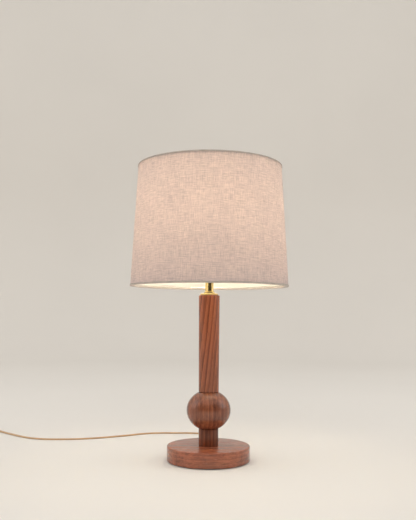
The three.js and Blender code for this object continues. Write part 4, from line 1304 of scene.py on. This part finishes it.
class LAMP_OT_shade(bpy.types.Operator):
    """Makes the linen shade: cloth, backing, the two rims' tape, the wire rings and the spider"""

    bl_idname = "lamp.shade"
    bl_label = "Shade"

    def execute(self, context):
        sizes = context.scene.lamp_shade
        foot, top = span("shade_fabric")
        slope = (sizes.top_radius - sizes.bottom_radius) / (top - foot)
        outer = lambda z: sizes.bottom_radius + slope * (z - foot)

        cloth = self.skin("shade_linen", outer, foot, top, 0, 0.0009, sizes.seam)
        fit(cloth, "shade", "linen", finish("linen"), "shade_fabric")
        liner = self.skin("shade_backing", outer, foot, top, 0.0013, 0.0021, 0)
        fit(liner, "shade", "liner", finish("liner"), "shade_liner")
        self.glue(cloth, inner=True)
        self.glue(liner, inner=False)

        middle = sum(span("bottom_ring")) / 2
        ring = self.hoop("lower_hoop", high("bottom_ring").x - RING_WIRE, middle)
        fit(ring, "shade", "steel", finish("steel"), "bottom_ring")
        self.spider()

        # Each tape is folded over its rim. tall is how far it reaches along the wall, past how far it stands
        # over the rim, out how far outside the wall it lies, and legs how far inside the wall it ends.
        thick, past, out = 0.0004, 0.0008, -0.0008
        for name, rim, way, tall, legs in (
            ("bottom_hem", foot, -1, 0.0016, 0.0064),
            ("top_hem", top, 1, 0.0012, 0.0026),
        ):
            end, edge, under = rim - way * tall, rim + way * past, rim + way * 0.0003
            corners = [(end, out), (edge, out), (edge, legs), (end, legs), (end, legs - thick)]
            corners += [(under, legs - thick), (under, -0.0003), (end, -0.0003)]
            outline = [(outer(z) - inset, z) for z, inset in corners]
            tape = turned(name + "_tape", rounded(outline, [0.0001] + [0.0004] * 2 + [0.0001] * 5, 3), 256)
            fit(tape, "shade", "tape", finish("rim_tape"), name)

        # The cone unrolled: a bent strip between two circles about one point.
        slant = math.hypot(top - foot, sizes.bottom_radius - sizes.top_radius)
        far = sizes.bottom_radius * slant / (sizes.bottom_radius - sizes.top_radius)
        half = math.pi * sizes.bottom_radius / far
        tall = far - (far - slant) * math.cos(half)
        return {"FINISHED"}

    def glue(self, wall, inner):
        """Gives the wall's hidden side, which faces in or out, its second material."""
        wall.data.materials.append(finish("glued_side"))
        wall.data.update()
        for face in wall.data.polygons:
            radial = face.center.x * face.normal.x + face.center.y * face.normal.y
            side = radial / math.hypot(face.center.x, face.center.y)
            if (side < -0.5) if inner else (side > 0.5):
                face.material_index = 1

    def skin(self, name, outer, foot, top, inset, inner_inset, seam):
        """A conical wall as one closed mesh. With a seam its outer face steps out over the lap at the
        back."""
        back, edge, run_out = math.pi / 2, 0.0012, 0.02
        angles = [TURN * k / 240 for k in range(240)]
        if seam:
            lap = seam / outer(foot)
            angles = [a for a in angles if not back - 0.01 < a < back + lap + 0.03]
            angles += [back, back + edge] + [back + edge + (lap + run_out) * k / 12 for k in range(1, 13)]
            angles.sort()
        rows, ring = 40, len(angles)
        points, faces, uvs = [], [], []

        def radius_at(angle, z, face):
            ripple = 0.00012 * noise.noise(Vector(polar(3, angle, z * 14)))
            step = 0
            if seam and face == 0:
                past = angle - back
                if 0.0011 < past < lap + 0.03:
                    step = 0.00035 * (1 if past < lap else max(0, 1 - (past - lap) / run_out))
            return outer(z) - face + ripple + step

        for face in (inset, inner_inset):
            for i in range(rows + 1):
                z = foot + (top - foot) * i / rows
                points += [polar(radius_at(a, z, face), a, z) for a in angles]
        mean = outer((foot + top) / 2)
        side, last = (rows + 1) * ring, rows * ring
        along = [(a - back) % TURN for a in angles]

        def quad(corners, i0, i1, j):
            u0, u1 = along[j] * mean, along[(j + 1) % ring] * mean
            if u1 < u0:
                u1 = TURN * mean
            v0, v1 = i0 * (top - foot) / rows, i1 * (top - foot) / rows
            faces.append(corners)
            uvs.append([(u0, v0), (u1, v0), (u1, v1), (u0, v1)])

        for i in range(rows):
            for j in range(ring):
                one, two = i * ring + j, i * ring + (j + 1) % ring
                quad([one, two, two + ring, one + ring], i, i + 1, j)
                faces.append([side + two, side + one, side + one + ring, side + two + ring])
                u = uvs[-1]
                uvs.append([u[1], u[0], u[3], u[2]])
        for j in range(ring):
            k = (j + 1) % ring
            quad([side + j, side + k, k, j], 0, 0, j)
            quad([last + j, last + k, side + last + k, side + last + j], rows, rows, j)
        return face_out(mesh_object(name, points, faces, uvs, sharp=30))

    def hoop(self, name, radius, height):
        """A level ring of the shade's wire."""
        around = [polar(radius, TURN * k / 180, height) for k in range(180)]
        return swept(name, around, self.wire(), up=(0, 0, 1), looped=True, sharp=180)

    def wire(self):
        """The wire's round section."""
        return ellipse(2 * RING_WIRE, 2 * RING_WIRE, 16)

    def spider(self):
        """The fitter: a washer, three arms and the upper hoop."""
        hi = high("spider_frame")
        hoop_r, hoop_z = hi.x - RING_WIRE, hi.z - RING_WIRE
        foot, eye_thick = high("harp_stud").z - 0.0137, 0.0015
        arm_z = foot + eye_thick / 2
        parts = [washer("spider_eye", 0.0034, 0.013, foot, foot + eye_thick, 0.0004)]
        parts.append(self.hoop("upper_hoop", hoop_r, hoop_z))
        route = [
            (0.0095, arm_z), (hoop_r * 0.5, arm_z), (hoop_r * 0.84, arm_z), (hoop_r * 0.945, arm_z + 0.001),
            (hoop_r * 0.985, arm_z + (hoop_z - arm_z) * 0.55), (hoop_r - 0.0002, hoop_z),
        ]  # fmt: skip
        path = smooth_path([Vector((r, 0, z)) for r, z in route], 0.002)
        for k in range(3):
            arm = swept("arm", path, self.wire(), up=(0, 1, 0), sharp=180)
            parts.append(moved(arm, Matrix.Rotation(TURN / 4 + k * TURN / 3, 4, "Z")))
        fit(joined("spider", parts), "shade", "brass", finish("brass_matt"), "spider_frame")


class LAMP_OT_finial(bpy.types.Operator):
    """Turns the knob that holds the shade down"""

    bl_idname = "lamp.finial"
    bl_label = "Finial"

    def execute(self, context):
        r, (foot, top) = high("finial").x, span("finial")
        bore, bore_top = 0.0034, foot + 0.0147
        outline = [
            (bore, bore_top), (bore, foot), (r * 0.8, foot), (r * 0.86, foot + 0.0012),
            (r * 0.86, foot + 0.0024), (r * 0.6, foot + 0.0042), (r * 0.54, foot + 0.0057),
            (r * 0.6, foot + 0.0072), (r * 0.84, foot + 0.0088), (r * 0.97, foot + 0.0118),
            (r, foot + 0.0145), (r * 0.95, foot + 0.0172), (r * 0.8, foot + 0.0197),
            (r * 0.55, foot + 0.0219), (r * 0.28, foot + 0.0234), (0, top), (0, bore_top),
        ]  # fmt: skip
        edges = [0, 0.0003, 0.0005, 0.0004, 0.0005] + [0.002] * 3 + [0.003] + [0.005] * 5 + [0.004, 0, 0]
        knob = turned("finial_knob", rounded(outline, edges, 4), 96, sharp=50)
        fit(knob, "finial", "brass", finish("brass"), "finial")
        return {"FINISHED"}


class LAMP_OT_inner_parts(bpy.types.Operator):
    """Gives the parts that stay as the frame has them their finishes"""

    bl_idname = "lamp.inner_parts"
    bl_label = "Inner Parts"

    def execute(self, context):
        kept = {
            "base_weight": "iron",
            "bottom_washer": "steel",
            "bottom_nut": "brass_matt",
            "threaded_rod": "steel",
            "socket_interior": "ceramic",
            "centre_contact": "brass_matt",
            "line_terminal": "brass_matt",
            "neutral_terminal": "steel",
            "bulb_contact": "steel",
            "bulb_stem": "stem_glass",
            "filament": "tungsten",
        }
        for node, name in kept.items():
            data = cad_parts[node].data
            data.materials.clear()
            data.materials.append(finish(name))
        return {"FINISHED"}


# ---------------------------------------------------------------- stage


LIGHT_COLOUR = (1.0, 0.985, 0.96)
ROOM_COLOUR = (1.0, 0.985, 0.955, 1)
REFLECTION_CARD_COLOUR = (0.02, 0.018, 0.016)


class LAMP_OT_stage(bpy.types.Operator):
    """Lays the pale floor with its curved wall, and hangs the soft lights"""

    bl_idname = "lamp.stage"
    bl_label = "Stage"

    def execute(self, context):
        lights = context.scene.lamp_lights
        self.sweep_wall()
        # Painted reflections: two dark cards that only show in gloss, one darkening the front of the wood and
        # brass, one painting the dark stripe down the brass neck.
        self.reflection_card("camera_card", radius=2.25, middle=-90, half_angle=58, foot=0.12, top=2.3)
        self.reflection_card("neck_card", radius=0.112, middle=-76, half_angle=44, foot=0.276, top=0.34)
        scene = context.scene
        scene.view_settings.view_transform = "Standard"
        scene.view_settings.look = "None"
        world = bpy.data.worlds.new("lamp_room")
        world.use_nodes = True
        background = world.node_tree.nodes["Background"]
        background.inputs["Color"].default_value = ROOM_COLOUR
        background.inputs["Strength"].default_value = lights.room
        scene.world = world
        self.soft_light("overhead", (0.0, 0.35, 2.6), (0, 0, 0), 2.4, lights.studio)
        self.soft_light("left", (-2.3, 0.1, 1.3), (0, -72, 0), 1.6, lights.sides)
        self.soft_light("right", (2.3, 0.1, 1.3), (0, 72, 0), 1.6, lights.sides * 1.25)
        self.soft_light("front", (-0.3, -2.0, 1.7), (55, 0, -8), 1.5, lights.front, glossy=False)
        return {"FINISHED"}

    def soft_light(self, name, place, turn, size, power, glossy=True):
        """A square light that the camera doesn't see, turned by so many degrees about X, Y and Z."""
        data = bpy.data.lights.new("light_" + name, "AREA")
        data.shape, data.size, data.energy = "SQUARE", size, power
        data.color = LIGHT_COLOUR
        lamp = linked("light_" + name, data)
        lamp.location, lamp.rotation_euler = place, [math.radians(a) for a in turn]
        lamp.visible_camera = False
        lamp.visible_glossy = glossy

    def sweep_wall(self):
        """A round floor, flat to one radius, that bends up into a wall on every side."""
        flat, bend, tall = 2.3, 1.1, 2.4
        profile = [(0, 0), (0.5, 0), (1.2, 0), (flat, 0)]
        for k in range(1, 17):
            a = math.pi / 2 * k / 16
            profile.append((flat + bend * math.sin(a), bend - bend * math.cos(a)))
        profile.append((flat + bend, tall))  # tall is the wall's top edge
        wall = turned("floor", profile, 96, closed=False, sharp=180)
        tone = colours().floor[:]
        f = Finish("backdrop", tone, 0.85)
        f.cloudy(1.3, shade_of(tone, 0.985), shade_of(tone, 1.015), detail=2)
        f.set("Specular IOR Level", 0.15)
        wall.data.materials.append(f.material)

    def reflection_card(self, name, radius, middle, half_angle, foot, top):
        """A bent dark card round the lamp's axis, its angles in degrees, that only shows in gloss: a painted
        dark reflection.
        """
        points, half = [], 12
        for k in range(2 * half + 1):
            a = math.radians(middle + half_angle * (k / half - 1))
            points += [polar(radius, a, z) for z in (foot, top)]
        faces = [[2 * k, 2 * k + 2, 2 * k + 3, 2 * k + 1] for k in range(2 * half)]
        sheet = mesh_object(name, points, faces, sharp=180)
        sheet.data.materials.append(Finish(name, REFLECTION_CARD_COLOUR, 0.9).material)
        sheet.visible_camera = False
        sheet.visible_diffuse = False
        sheet.visible_transmission = False
        sheet.visible_shadow = False


# ---------------------------------------------------------------- panel and start

OPERATORS = (
    LAMP_OT_camera,
    LAMP_OT_cord,
    LAMP_OT_base,
    LAMP_OT_stem,
    LAMP_OT_brass,
    LAMP_OT_socket,
    LAMP_OT_harp,
    LAMP_OT_bulb,
    LAMP_OT_shade,
    LAMP_OT_finial,
    LAMP_OT_inner_parts,
    LAMP_OT_stage,
)


class LAMP_PT_panel(bpy.types.Panel):
    """Lists the lamp's pieces and settings"""

    bl_idname = "LAMP_PT_panel"
    bl_label = "Table Lamp"
    bl_space_type = "VIEW_3D"
    bl_region_type = "UI"
    bl_category = "Lamp"

    def draw(self, context):
        for name in SETTINGS:
            group = getattr(context.scene, name)
            column = self.layout.column(align=True)
            for key in group.bl_rna.properties.keys():
                if key not in {"rna_type", "name"}:
                    column.prop(group, key)
        for operator in OPERATORS:
            self.layout.operator(operator.bl_idname)


def register():
    for group in SETTINGS.values():
        bpy.utils.register_class(group)
    for name, group in SETTINGS.items():
        setattr(bpy.types.Scene, name, bpy.props.PointerProperty(type=group))
    for operator in OPERATORS:
        bpy.utils.register_class(operator)
    bpy.utils.register_class(LAMP_PT_panel)


def unregister():
    bpy.utils.unregister_class(LAMP_PT_panel)
    for operator in reversed(OPERATORS):
        bpy.utils.unregister_class(operator)
    for name, group in reversed(SETTINGS.items()):
        delattr(bpy.types.Scene, name)
        bpy.utils.unregister_class(group)


def main():
    register()
    for operator in OPERATORS:
        family, name = operator.bl_idname.split(".")
        getattr(getattr(bpy.ops, family), name)()


if __name__ == "__main__":
    main()
